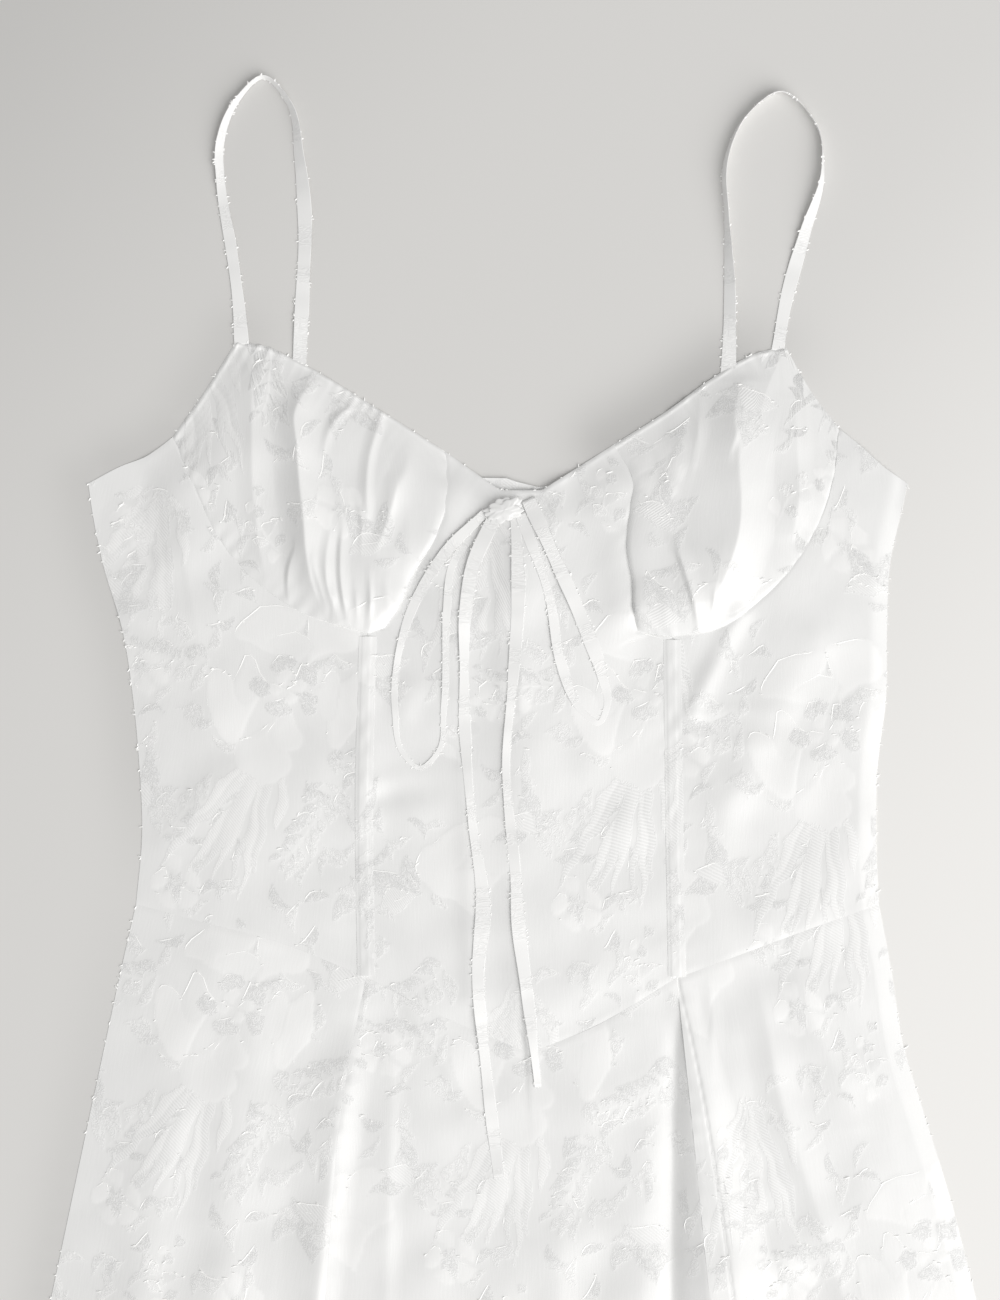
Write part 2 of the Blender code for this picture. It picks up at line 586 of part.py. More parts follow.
def skirt_front(satin):
    """Three gores. The right gore's folded edge lies over the middle gore, which is tucked in under it."""
    up = 1 - even(SKIRT_ROWS)[::-1] ** ROW_CROWDING
    half = even(SKIRT_CENTRE_CELLS // 2)
    waist = chain(through(WAIST_POINT_LEFT, half), through(WAIST_POINT_RIGHT, half))
    seams = {}
    for name, start, stops in (
        ("left", WAIST_PRINCESS_LEFT, GORE_LEFT),
        ("right", WAIST_PRINCESS_RIGHT, GORE_RIGHT),
    ):
        path = [start] + [(x, hem_y(x) if y is None else y) for x, y in stops]
        seams[name] = through(path[::-1], up)
    below_waist = WAIST_PRINCESS_RIGHT[1] - seams["right"][:, 1]
    tucked = seams["right"].copy()
    tucked[:, 0] += PLEAT_TUCK * np.clip((below_waist - PLEAT_START) / PLEAT_LENGTH, 0, 1)
    tucked[0, 1] = hem_y(tucked[0, 0])
    across = even(SKIRT_CENTRE_CELLS)
    hem = hem_edge(seams["left"][0, 0], tucked[0, 0], SKIRT_CENTRE_CELLS)
    grid = inset(patch(hem, waist, seams["left"], tucked, across, up), GAP / 2)
    made = [wall("skirt_front_centre", grid, front_underside(grid[..., 0], grid[..., 1]), satin)]

    across = even(SKIRT_SIDE_CELLS)
    side = through([(row.left, row.y) for row in SKIRT_SIDES[::-1]], up)
    hem = hem_edge(HEM_LEFT_X, seams["left"][0, 0], SKIRT_SIDE_CELLS)
    grid = inset(patch(hem, through(WAIST_LEFT, across), side, seams["left"], across, up), GAP / 2)
    made.append(wall("skirt_front_left", grid, front_underside(grid[..., 0], grid[..., 1]), satin))
    side = through([(row.right, row.y) for row in SKIRT_SIDES[::-1]], up)
    hem = hem_edge(seams["right"][0, 0], HEM_RIGHT_X, SKIRT_SIDE_CELLS)
    grid = inset(patch(hem, through(WAIST_RIGHT, across), seams["right"], side, across, up), GAP / 2)
    x, y = grid[..., 0], grid[..., 1]
    underside = front_underside(x, y) + sum(ridge(x, y, fold) for fold in RIGHT_GORE_FOLDS)
    from_edge = x - grid[:, :1, 0]
    opened = np.clip(below_waist / PLEAT_RISE_LENGTH, 0, 1)[:, None]
    underside += PLEAT_RISE * opened * np.exp(-((from_edge / PLEAT_RISE_WIDTH) ** 2))
    made.append(wall("skirt_front_right", grid, underside, satin))
    return made


def back(satin):
    """Four flat panels that the dress lies on, with a seam down the middle and one at the waist."""
    made = []
    across = even(BACK_CELLS)
    bodice_rows, skirt_rows = even(PRINCESS_CELLS), 1 - even(SKIRT_ROWS)[::-1] ** ROW_CROWDING
    for name in ("left", "right"):
        side = through([(getattr(row, name), row.y) for row in BODICE_SIDES], bodice_rows)
        middle = np.stack([np.full(len(side), BACK_SEAM_X), BACK_NECK_Y * bodice_rows], axis=1)
        pair = (side, middle) if name == "left" else (middle, side)
        ends = [np.linspace(pair[0][i], pair[1][i], len(across)) for i in (0, -1)]
        grid = inset(patch(*ends, *pair, across, bodice_rows), GAP / 2)
        made.append(wall("bodice_back_" + name, grid, np.zeros(grid.shape[:2]), satin))
    across = even(2 * BACK_CELLS)
    for name in ("left", "right"):
        side = through([(getattr(row, name), row.y) for row in SKIRT_SIDES[::-1]], skirt_rows)
        middle = np.stack([np.full(len(side), BACK_SEAM_X), hem_y(BACK_SEAM_X) * (1 - skirt_rows)], axis=1)
        pair = (side, middle) if name == "left" else (middle, side)
        hem = hem_edge(pair[0][0, 0], pair[1][0, 0], len(across) - 1)
        waist = np.linspace(pair[0][-1], pair[1][-1], len(across))
        grid = inset(patch(hem, waist, *pair, across, skirt_rows), GAP / 2)
        made.append(wall("skirt_back_" + name, grid, np.zeros(grid.shape[:2]), satin))
    return made


def to_reference_point(objects, ties):
    """Moves everything so that the origin is on the ground, under the middle of the pieces but the ties."""
    points = np.array([v.co for made in objects for v in made.data.vertices])
    low, high = points.min(axis=0), points.max(axis=0)
    middle = Vector(((low[0] + high[0]) / 2, (low[1] + high[1]) / 2, low[2]))
    for made in objects + ties:
        for vertex in made.data.vertices:
            vertex.co -= middle
        made.data.update()


def main():
    for old in list(bpy.data.objects):
        bpy.data.objects.remove(old)
    satin = material("white_satin", SATIN_COLOUR, SATIN_ROUGHNESS)
    trim = material("white_satin_trim", TRIM_COLOUR, TRIM_ROUGHNESS)
    lower = back(satin)
    front = bodice_front(satin) + skirt_front(satin)
    panels = height_over(front)
    channels = [
        channel("boning_channel_left", PRINCESS_LEFT, panels, trim),
        channel("boning_channel_right", PRINCESS_RIGHT, panels, trim),
    ]
    straps = [
        band("strap_left", STRAP_LEFT, STRAP_WIDTH, STRAP_THICKNESS, STRAP_STEPS, trim),
        band("strap_right", STRAP_RIGHT, STRAP_WIDTH, STRAP_THICKNESS, STRAP_STEPS, trim),
    ]
    middle = knot("tie_knot", panels, trim)
    ties = [
        band("tie_loop_left", TIE_LOOP_LEFT, TIE_WIDTH, CLOTH, LOOP_STEPS, trim, panels),
        band("tie_loop_right", TIE_LOOP_RIGHT, TIE_WIDTH, CLOTH, LOOP_STEPS, trim, panels),
        band("tie_tail_left", TIE_TAIL_LEFT, TIE_WIDTH, CLOTH, TAIL_STEPS, trim, panels),
        band("tie_tail_right", TIE_TAIL_RIGHT, TIE_WIDTH, CLOTH, TAIL_STEPS, trim, panels),
    ]
    to_reference_point(lower + front + channels + straps + [middle], ties)


main()
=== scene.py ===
import math
from collections import namedtuple

import bpy
import numpy as np
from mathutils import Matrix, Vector
from mathutils.bvhtree import BVHTree


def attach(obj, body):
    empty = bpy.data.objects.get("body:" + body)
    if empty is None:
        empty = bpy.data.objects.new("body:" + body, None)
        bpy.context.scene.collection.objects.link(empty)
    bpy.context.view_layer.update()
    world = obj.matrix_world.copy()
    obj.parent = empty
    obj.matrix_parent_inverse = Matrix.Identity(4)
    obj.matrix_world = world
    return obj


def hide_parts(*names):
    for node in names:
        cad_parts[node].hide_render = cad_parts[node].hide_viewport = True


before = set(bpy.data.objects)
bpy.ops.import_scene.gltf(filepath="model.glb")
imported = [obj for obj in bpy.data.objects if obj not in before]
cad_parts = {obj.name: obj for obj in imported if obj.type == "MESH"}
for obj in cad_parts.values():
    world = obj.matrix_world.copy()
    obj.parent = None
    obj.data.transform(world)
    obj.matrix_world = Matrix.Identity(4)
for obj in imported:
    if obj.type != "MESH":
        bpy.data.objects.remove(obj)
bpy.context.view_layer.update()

# A white satin jacquard midi dress, laid flat on its back. Tables are in millimetres: x from the middle of
# the dress, y up from the waist's side points, z up from the surface. Left and right are as seen from above.

shift = {"x": -0.001999, "y": 0.174842}  # from the tables' zero to the frame's, in metres


def toFrame(points):
    # millimetres of the tables to metres of the frame
    return np.asarray(points, float) / 1000 + np.array([shift["x"], shift["y"], 0.0])


# Camera, floor and light

view = {"x": -0.0085, "y": 0.30234, "tall": 0.65, "lens": 70.0, "sensor": 36.0, "clothHeight": 0.004}
studio = {
    "floorSize": 6.0,
    "floorDepth": 0.00003,
    "floorTint": (1.0, 0.992, 0.974),
    "floorRoughness": 0.75,
    "floorSpecular": 0.25,
    "floorCell": 0.006,
    "floorReach": (0.42, 0.66),  # of the small cells, on both sides of the frame's zero
    # painted shadow: how much darker the board's colour is made beside these edges of the dress, and over
    # what width in millimetres
    "paintedFloorShadows": {"neckRight": (0.27, 21.0), "armholeLeft": (0.11, 18.0), "underarmLeft": (0.13, 17.0),
                    "bodice": (0.1, 17.0), "skirt": (0.18, 19.0)},
    "shadeStart": 0.15,  # share of that at the edge's first end, and how fast it grows from there
    "shadeGrowth": 2.5,
    # painted shade: the board's colour darkens away from the key, along this way and over this range
    "paintedFalloffWay": (0.77, -0.64, 0),  # towards the key
    "paintedFalloffRange": (-0.63, 0.10),  # where along that way the steps below begin and end
    # shares of the way from the far corner towards the key, and how light the board's colour is painted there
    "paintedFalloffSteps": ((0.02, 0.605), (0.18, 0.69), (0.35, 0.755), (0.57, 0.735), (0.69, 0.81), (0.86, 0.885),
                   (1.0, 0.89)),
    "skyColour": (1.0, 0.995, 0.985),
    "skyStrength": 0.46,
    "keyPlace": (2.2, -1.45, 2.35),
    "keySize": 4.4,
    "keyPower": 128.0,
    "keyColour": (1.0, 0.99, 0.98),
}


def setAll(target, **values):
    for key, value in values.items():
        setattr(target, key, value)
    return target


def addNode(tree, kind, settings=None, **inputs):
    # a shader node; its inputs are given by name, or as i and a number
    made = setAll(tree.nodes.new("ShaderNode" + kind), **(settings or {}))
    for key, value in inputs.items():
        socket = made.inputs[int(key[1:]) if key[1:].isdigit() else key]
        if isinstance(value, bpy.types.NodeSocket):
            tree.links.new(value, socket)
        else:
            socket.default_value = value
    return made


def attribute(tree, name):
    # a value that the mesh carries at its points
    return addNode(tree, "Attribute", {"attribute_name": name}).outputs["Fac"]


def newMaterial(name, values):
    made = setAll(bpy.data.materials.new(name), use_nodes=True)
    shader = made.node_tree.nodes["Principled BSDF"]
    for label, value in values.items():
        shader.inputs[label].default_value = value
    return made, made.node_tree, shader


def addObject(name, data):
    made = bpy.data.objects.new(name, data)
    bpy.context.scene.collection.objects.link(made)
    return made


def makeCamera():
    # straight down; the long side of the picture is the sensor's width
    camera = bpy.data.cameras.new("camera")
    setAll(camera, lens=view["lens"], sensor_width=view["sensor"], clip_end=50)
    away = view["tall"] * view["lens"] / view["sensor"]
    place = (view["x"], view["y"], view["clothHeight"] + away)
    bpy.context.scene.camera = setAll(addObject("camera", camera), location=place)
    setAll(bpy.context.scene.view_settings, view_transform="Standard", look="None")


def paintedBoardShadow(x, y):
    # painted shadow: how much darker the board's colour is made, the largest of the bells along the dress's
    # edges
    total = np.zeros(x.shape)
    for name, (depth, width) in studio["paintedFloorShadows"].items():
        if name in seams:
            stops = seams[name]
        else:
            stops = [(row.left, row.y) for row in (bodiceSides if name == "bodice" else skirtSides)]
        shares = even(60)
        for share, (px, py) in zip(shares, smoothPath(stops, shares)):
            away = ((x - px) ** 2 + (y - py) ** 2) / width**2
            grown = min(1, studio["shadeStart"] + studio["shadeGrowth"] * share)
            total = np.maximum(total, depth * grown * np.exp(-away))
    return total


def makeStudio():
    # a plane with small cells around the dress, where its colour carries a painted soft shadow of the dress
    half = studio["floorSize"] / 2
    x, y = [np.concatenate([[-half], np.arange(-reach, reach, studio["floorCell"]), [half]])
            for reach in studio["floorReach"]]
    low = np.full((len(y), len(x)), -studio["floorDepth"])
    place = np.stack([*np.meshgrid(x, y), low], axis=2).reshape(-1, 3)
    mesh = bpy.data.meshes.new("floor")
    mesh.from_pydata(place.tolist(), [], gridFaces(len(y), len(x)).tolist())
    # the painted shadow, as the share of the board's colour that is left
    light = 1 - paintedBoardShadow((place[:, 0] - shift["x"]) * 1000, (place[:, 1] - shift["y"]) * 1000)
    mesh.attributes.new("light", "FLOAT", "POINT").data.foreach_set("value", light.astype(np.float32))
    floor = addObject("floor", mesh)
    paint, tree, shader = newMaterial("matt_board", {
        "Roughness": studio["floorRoughness"], "Specular IOR Level": studio["floorSpecular"]})
    # painted shade: the board's colour is a little darker towards the corner that is farthest from the key
    place = addNode(tree, "NewGeometry").outputs["Position"]
    aside = addNode(tree, "VectorMath", {"operation": "DOT_PRODUCT"}, i0=place, i1=studio["paintedFalloffWay"])
    first, last = studio["paintedFalloffRange"]
    share = addNode(tree, "MapRange", Value=aside.outputs["Value"], i1=first, i2=last)
    ramp = addNode(tree, "ValToRGB", Fac=share.outputs[0])
    ramp.color_ramp.interpolation = "B_SPLINE"
    steps = ramp.color_ramp.elements
    while len(steps) < len(studio["paintedFalloffSteps"]):
        steps.new(0.5)
    for step, (at, light) in zip(steps, studio["paintedFalloffSteps"]):
        step.position = at
        step.color = (*(light * tint for tint in studio["floorTint"]), 1.0)
    # the painted shadow darkens the board's colour
    shaded = addNode(tree, "VectorMath", {"operation": "SCALE"}, i0=ramp.outputs["Color"],
                     Scale=attribute(tree, "light"))
    tree.links.new(shaded.outputs[0], shader.inputs["Base Color"])
    mesh.materials.append(paint)

    world = setAll(bpy.data.worlds.new("soft_sky"), use_nodes=True)
    background = world.node_tree.nodes["Background"]
    background.inputs["Color"].default_value = (*studio["skyColour"], 1.0)
    background.inputs["Strength"].default_value = studio["skyStrength"]
    bpy.context.scene.world = world

    lamp = setAll(bpy.data.lights.new("key", "AREA"), shape="DISK", size=studio["keySize"],
                  energy=studio["keyPower"], color=studio["keyColour"])
    aim = Vector((view["x"], view["y"], 0)) - Vector(studio["keyPlace"])
    turn = aim.to_track_quat("-Z", "Y").to_euler()
    setAll(addObject("key", lamp), location=studio["keyPlace"], rotation_euler=turn)


# Curves, patches and meshes

def lengthsAlong(points):
    # how far each point of a path is along it
    return np.concatenate([[0], np.cumsum(np.linalg.norm(np.diff(points, axis=0), axis=1))])


def smoothPath(points, shares):
    # points at those shares of the length of a smooth curve that runs through the given ones
    stops = np.array(points, float)
    along = lengthsAlong(stops[:, :2])
    curve = stops
    if len(stops) > 2:
        slopes = np.gradient(stops, along, axis=0)
        at = np.linspace(0, along[-1], 60 * len(stops))
        k = np.clip(np.searchsorted(along, at, "right") - 1, 0, len(stops) - 2)
        step = (along[k + 1] - along[k])[:, None]
        a = (at - along[k])[:, None] / step
        curve = (2 * a**3 - 3 * a**2 + 1) * stops[k] + (a**3 - 2 * a**2 + a) * step * slopes[k]
        curve += (3 * a**2 - 2 * a**3) * stops[k + 1] + (a**3 - a**2) * step * slopes[k + 1]
    length = lengthsAlong(curve[:, :2])
    wanted = np.asarray(shares) * length[-1]
    return np.stack([np.interp(wanted, length, curve[:, i]) for i in range(curve.shape[1])], axis=1)


def even(cells):
    return np.linspace(0, 1, cells + 1)


def chain(*edges):
    # one edge out of several that follow each other and share their end points
    return np.concatenate([edges[0]] + [edge[1:] for edge in edges[1:]])


def patchGrid(bottom, top, left, right, across, up):
    # a surface between four edges: the two ruled surfaces added, less the one through the corners
    u, v = across[None, :, None], up[:, None, None]
    ruled = (1 - v) * bottom[None] + v * top[None] + (1 - u) * left[:, None] + u * right[:, None]
    corners = (1 - v) * ((1 - u) * bottom[0] + u * bottom[-1]) + v * ((1 - u) * top[0] + u * top[-1])
    return ruled - corners


def turnedBy(angle, x, y):
    # a place turned round the zero
    c, s = math.cos(angle), math.sin(angle)
    return c * x - s * y, s * x + c * y


# waves whose pace keeps changing: their period, and how far and how slowly it swings
ripples = {
    "seamDip": (6.0, 2.5, 21.0), "pucker": (1.9, 2.1, 17.0), "waistDip": (7.0, 2.5, 19.0),
    "hemBead": (1.7, 1.5, 11.0), "channelSag": (4.1, 2, 15), "paintedRibbonSheen": (3.1, 1.7, 7.9),
}


def ripple(kind, run):
    # a sine of the run over its period, to which another sine of the run is added
    period, swing, slow = ripples[kind]
    return np.sin(run / period + swing * np.sin(run / slow))


def bell(distance, width, power=2):
    # 1 in the middle, and away from it e to the minus of that power of distance over width
    return np.exp(-((distance / width) ** power))


def clothLengths(grid):
    # how far each point of a grid is along its row and along its column, in millimetres
    rows = np.cumsum(np.linalg.norm(np.diff(grid, axis=1, prepend=grid[:, :1]), axis=2), axis=1)
    columns = np.cumsum(np.linalg.norm(np.diff(grid, axis=0, prepend=grid[:1]), axis=2), axis=0)
    return rows, columns


def withHeight(plan, height):
    return np.concatenate([plan, height[..., None]], axis=-1)


def addMesh(name, points, faceSets, surface, uv=None, values=None, smoothSets=9):
    # a mesh from whole arrays; the faces of one set all have as many corners, and the first sets are smooth
    mesh = bpy.data.meshes.new(name)
    corners = np.concatenate([np.asarray(f, np.int32).ravel() for f in faceSets])
    sizes = np.concatenate([np.full(len(f), f.shape[1]) for f in faceSets])
    mesh.vertices.add(len(points))
    mesh.vertices.foreach_set("co", toFrame(points).astype(np.float32).ravel())
    mesh.loops.add(len(corners))
    mesh.loops.foreach_set("vertex_index", corners)
    mesh.polygons.add(len(sizes))
    mesh.polygons.foreach_set("loop_start", np.concatenate([[0], np.cumsum(sizes)[:-1]]).astype(np.int32))
    mesh.update(calc_edges=True)
    mesh.validate()
    if uv is not None:
        layer = mesh.uv_layers.new(name="cloth")
        layer.data.foreach_set("uv", (np.asarray(uv)[corners] / 1000).astype(np.float32).ravel())
    for label, value in (values or {}).items():
        layer = mesh.attributes.new(label, "FLOAT", "POINT")
        layer.data.foreach_set("value", value.astype(np.float32).ravel())
    smooth = np.concatenate([np.full(len(f), i < smoothSets) for i, f in enumerate(faceSets)])
    mesh.polygons.foreach_set("use_smooth", smooth)
    mesh.materials.append(surface)
    made = addObject(name, mesh)
    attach(made, "root")
    return made


def gridFaces(rows, columns, first=0):
    # four-cornered faces between the points of a grid, numbered row by row
    number = first + np.arange(rows * columns).reshape(rows, columns)
    corners = [number[:-1, :-1], number[:-1, 1:], number[1:, 1:], number[1:, :-1]]
    return np.stack([c.ravel() for c in corners], axis=1)


def tubeFaces(count, ring):
    # the sides between rings of points, and the first and last ring as faces
    number = np.arange(count * ring).reshape(count, ring)
    beside = np.roll(number, -1, axis=1)
    sides = np.stack([number[:-1], beside[:-1], beside[1:], number[1:]], axis=2).reshape(-1, 4)
    return sides, number[0][::-1][None], number[-1][None]


def guarded(grid):
    # two narrow cells more along each border, so that the rim bends the smooth shading only there
    for axis in (0, 1):
        last, share = grid.shape[axis] - 1, dress["guard"]
        ends = np.array([0, share, 2 * share])
        at = np.concatenate([ends, np.arange(1, last), last - ends[::-1]])
        low = np.minimum(at.astype(int), last - 1)
        part = (at - low).reshape((-1,) + (1,) * (grid.ndim - 1 - axis))
        grid = np.take(grid, low, axis) * (1 - part) + np.take(grid, low + 1, axis) * part
    return grid


def addShell(name, top, thick, surface, values, coarse=4, flatUnder=None):
    # a closed shell of cloth: a fine upper grid, a coarse lower one and a rim of longer faces between them
    top, values = guarded(top), {key: guarded(value) for key, value in values.items()}
    rows, columns = top.shape[:2]
    under = top[::coarse, ::coarse] - [0, 0, thick]
    under[..., 2] = np.maximum(under[..., 2], dress["lowestUnder"]) if flatUnder is None else flatUnder
    lowRows, lowColumns = under.shape[:2]
    count = rows * columns
    upper = np.arange(count).reshape(rows, columns)
    lower = count + np.arange(lowRows * lowColumns).reshape(lowRows, lowColumns)
    rims = []
    for place in (np.s_[0], np.s_[:, -1], np.s_[-1, ::-1], np.s_[::-1, 0]):
        high, low = upper[place], lower[place]
        runs = [high[k:len(high) - coarse + k:coarse] for k in range(coarse)] + [high[coarse::coarse]]
        rims.append(np.concatenate([low[:-1, None], low[1:, None], np.stack(runs[::-1], axis=1)], axis=1))
    lowFaces = gridFaces(lowRows, lowColumns, count)[:, ::-1]
    faceSets = [gridFaces(rows, columns), lowFaces, np.concatenate(rims)]
    if np.cross(np.gradient(top, axis=1), np.gradient(top, axis=0))[..., 2].mean() < 0:
        faceSets = [f[:, ::-1] for f in faceSets]
    points = np.concatenate([top.reshape(-1, 3), under.reshape(-1, 3)])
    along, aside = clothLengths(top)
    uv = np.stack([along - along[:, columns // 2, None], aside], axis=2)
    uv = np.concatenate([uv.reshape(-1, 2), uv[::coarse, ::coarse].reshape(-1, 2)])
    spread = {k: np.concatenate([v.ravel(), v[::coarse, ::coarse].ravel()]) for k, v in values.items()}
    return addMesh(name, points, faceSets, surface, uv, spread, 2)


def treeOf(top):
    # a search tree over a panel's upper grid, in millimetres
    faces = gridFaces(*top.shape[:2])
    return BVHTree.FromPolygons(top.reshape(-1, 3).tolist(), faces.tolist())


down = Vector((0, 0, -1))


def heightsOn(trees, points):
    # the highest cloth of those trees under each point, and nan where there is none
    found = np.full(len(points), np.nan)
    for i, (x, y) in enumerate(points):
        for tree in trees:
            place = tree.ray_cast(Vector((x, y, 80.0)), down)[0]
            if place is not None and not place.z <= found[i]:
                found[i] = place.z
    return found


# Where the seams run

dress = {
    "wall": 1.0,  # of the solids
    "gap": 0.3,
    "loft": 1.6,  # air between front and back, away from the sides
    "shell": 0.85,  # of the modelled cloth
    "thinnest": 0.16,  # at the folded sides
    "lowestUnder": 0.02,  # the shells' lower sides stay this far above the floor
    "lowestCup": 0.35,
    "seamLap": 0.03,  # how far each panel reaches past its seam line
    "guard": 0.05,  # share of a cell
    "reliefFade": 1.6,  # the jacquard's relief ends this far from the seams
    "hemMiddle": -765.0,
    "hemRise": 38.0,
    "hemLeft": -350.0,
    "hemRight": 354.0,
    "sideDrop": 2.12,  # how far the front drops at its folded sides, over a width
    "sideDropWidth": 46.0,
    "sideDropRight": 9.0,
    "seamDip": 0.22,
    "seamDipWidth": 1.3,
    "pucker": 0.16,
    "puckerWidth": 4.5,
    "waistDip": 0.24,
    "waistDipWidth": 1.3,
    "hemBead": 0.22,
    "beadPlace": 1.5,
    "beadWidth": 0.9,
    "hemEdge": 0.35,  # how far the very edge goes down, over a width
    "hemEdgeWidth": 0.5,
    "edgeBelow": 120.0,  # the free edges are all above this
    "edgeWidth": 17.0,  # over which the cloth comes down to them
    "edgeLoft": 0.95,  # share of the air that is gone there
    "edgeDrop": 2.0,
    "underarmDrop": 0.8,
    "neckDrop": 0.2,  # where the back lies under the edge
}
back = {
    "neck": 212.5,
    "neckLine": ((-205, -14, -3, 2, 14, 190), (211, 213.6, 213.4, 211.6, 208.6, 211)),  # its x and y
    "inside": 9.0,  # how far the back panels end short of the folded sides
    "seam": 2.0,
    "bodiceGap": -0.2,
    "skirtGap": 0.12,
    "height": 0.8,
    "leftAbove": 0.03,  # how much higher the left panel lies than the right one
    "sideDrop": 0.72,  # how far the back goes down towards its sides, over a width
    "sideWidth": 24.0,
    "topWidth": 18.0,
    "shownHalf": 30.0,  # where its top edge shows, on both sides of the middle
    "ridge": 1.1,
    "ridgeWidth": 0.8,
    "dip": 0.55,
    "dipWidth": 14.0,
}
neckLeft, neckRight = (-6.5, 207.5), (14.5, 207.5)
cupNeckLeft, cupNeckRight = (-34.0, 227.0), (50.5, 230.5)
cupFootLeft, cupFootRight = (-64.0, 138.5), (62.5, 136.5)
apexLeft, apexRight = (-139.0, 282.0), (137.0, 279.0)
armSeamLeft, armSeamRight = (-170.5, 234.5), (163.5, 238.7)
underbustLeft, underbustRight = (-72.5, 136.0), (79.5, 134.3)
waistLeft, waistRight, waistPoint = (-73.5, -36.0), (82.0, -36.5), (7.5, -74.0)

Side = namedtuple("Side", "y left right")
bodiceSides = (
    Side(0, -189, 183.5),
    Side(35, -186, 182),
    Side(71, -187.5, 183),
    Side(103, -190.5, 187),
    Side(138, -196, 187.5),
    Side(170, -205.5, 189),
    Side(200, -211.5, 195.5),
    Side(211, -213, 198),
)
skirtSides = (
    Side(0, -189, 183.5),
    Side(-35, -197, 190),
    Side(-70, -204.5, 195.5),
    Side(-100, -211, 204.5),
    Side(-145, -220.5, 218.5),
    Side(-197, -231.5, 232),
    Side(dress["hemMiddle"] + dress["hemRise"], dress["hemLeft"], dress["hemRight"]),
)
seams = {
    "neckLeft": (apexLeft, (-125, 280), (-106.5, 271.5), (-66.5, 247.5), cupNeckLeft),
    "neckRight": (apexRight, (126, 277.5), (98.3, 262.7), (79, 248.5), cupNeckRight),
    "armholeLeft": (armSeamLeft, (-153, 259.5), apexLeft),
    "armholeRight": (armSeamRight, (150, 256.5), apexRight),
    "underarmLeft": ((-213, 211), (-197, 219.5), (-183, 225), armSeamLeft),
    "underarmRight": ((198, 211), (187.5, 218), (175, 229.2), armSeamRight),
    "outerLeft": (armSeamLeft, (-161.5, 214), (-148, 185), (-130, 163), (-108, 147.5), underbustLeft),
    "outerRight": (armSeamRight, (160, 212), (148, 181.5), (124, 152.7), (103, 138.5), underbustRight),
    "innerLeft": (cupFootLeft, (-56, 151), (-48, 168), (-39, 183), (-34.5, 196), (-33, 210), cupNeckLeft),
    "innerRight": (cupFootRight, (60, 148), (59.5, 161), (56.5, 178), (58.5, 198), (60, 212), cupNeckRight),
    "princessLeft": (waistLeft, (-74.5, 52.5), underbustLeft),
    "princessRight": (waistRight, (80.5, 52.5), underbustRight),
    "waistLeft": ((-189, 0), (-156, -8.5), (-119.5, -18), waistLeft),
    "waistRight": (waistRight, (113.5, -25), (150, -11.5), (183.5, 0)),
    "pointLeft": (waistLeft, (-40, -53.5), waistPoint),
    "pointRight": (waistPoint, (40, -61), waistRight),
    "goreLeft": (waistLeft, (-84, -90), (-94, -197.5), (-150, None)),
    "goreRight": (waistRight, (89, -105), (98, -197.5), (160, None)),
}

# Folds of the front: a bell across the line between two ends, its width and height changing along it. Bow
# moves its middle sideways, and lean makes its right side wider and its left side steeper.
Fold = namedtuple("Fold", "x0 y0 width0 height0 x1 y1 width1 height1 bow lean", defaults=(0, 0))
skirtFolds = (
    Fold(-165, -60, 12, 0.4, -290, -738, 28, 6),
    Fold(-131, -47, 10, 0.4, -215, -752, 27, 7),
    Fold(-108, -230, 14, 0.6, -152, -760, 26, 7),
    Fold(-40, -180, 12, 0.4, -62, -762, 27, 7),
    Fold(22, -180, 12, 0.4, 22, -765, 26, 7.5),
    Fold(72, -220, 12, 0.8, 92, -760, 22, 5),
    Fold(165, -90, 14, 0.6, 292, -740, 28, 7),
)
bodiceFolds = (
    Fold(-187, 208, 12, -1.5, -184, 180, 12, -1.3),
    Fold(-162, 206, 12, 0.9, -166, 176, 12, 0.8),
    Fold(-190, 146, 8, 0.9, -150, 143, 9, 0.6),
    Fold(-172, 32, 9, 0.9, -142, 66, 10, 0.9),
    Fold(-75, 118, 10, 1.7, -74, 45, 10, 1.4),
    Fold(-27, 166, 16, 2.6, -27, 106, 16, 3.2),
    Fold(2, 170, 12, 1.9, 0, 110, 12, 1.7),
    Fold(-23, 66, 9, 1.1, -20, -45, 9, 1.3, 0, 0.3),
    Fold(-50, 107, 9, 1.8, -55, 98, 8, 1.5),
    Fold(-68, 53, 5, -0.9, -42, 58, 8, -0.6),
    Fold(-66, 62, 5, 0.5, -36, 68, 8, 0.3),
    Fold(38, 130, 20, 1.8, 40, 70, 18, 0.6),
    Fold(113, 146, 6, 1.7, 90, 98, 5, 1.5),
    Fold(150, 133, 11, 1.0, 109, 55, 11, 1.0),
    Fold(109, 55, 11, 1.0, 97, 10, 10, 0.5),
    Fold(84, 92, 3, 0.5, 138, 96, 5, 0.3, 3),
    Fold(84, 88, 3, 0.6, 128, 80, 6, 0.4, -3),
    Fold(88, 84, 3, 0.5, 100, 62, 5, 0.4),
    Fold(52, 206, 13, 1.1, 56, 150, 12, 2.6),
    Fold(-30, 205, 9, 1.6, -40, 168, 8, 1.6),
    Fold(20, 216, 7, 1.2, 22, 196, 7, 0.6),
    Fold(-20, 150, 12, -0.8, -16, 60, 14, -0.7),
    Fold(9, 178, 26, 2.3, 7, 84, 28, 2.0),
    Fold(3, 84, 26, 1.2, 6, -40, 27, 3.0, 0, 0.45),
    Fold(150, -5, 8, 0.6, 175, 40, 12, 0.8),
    Fold(-120, 5, 16, 0.9, -100, 60, 14, 0.5),
)
rightGoreFold = Fold(128, -190, 14, 0.6, 222, -755, 27, 7)
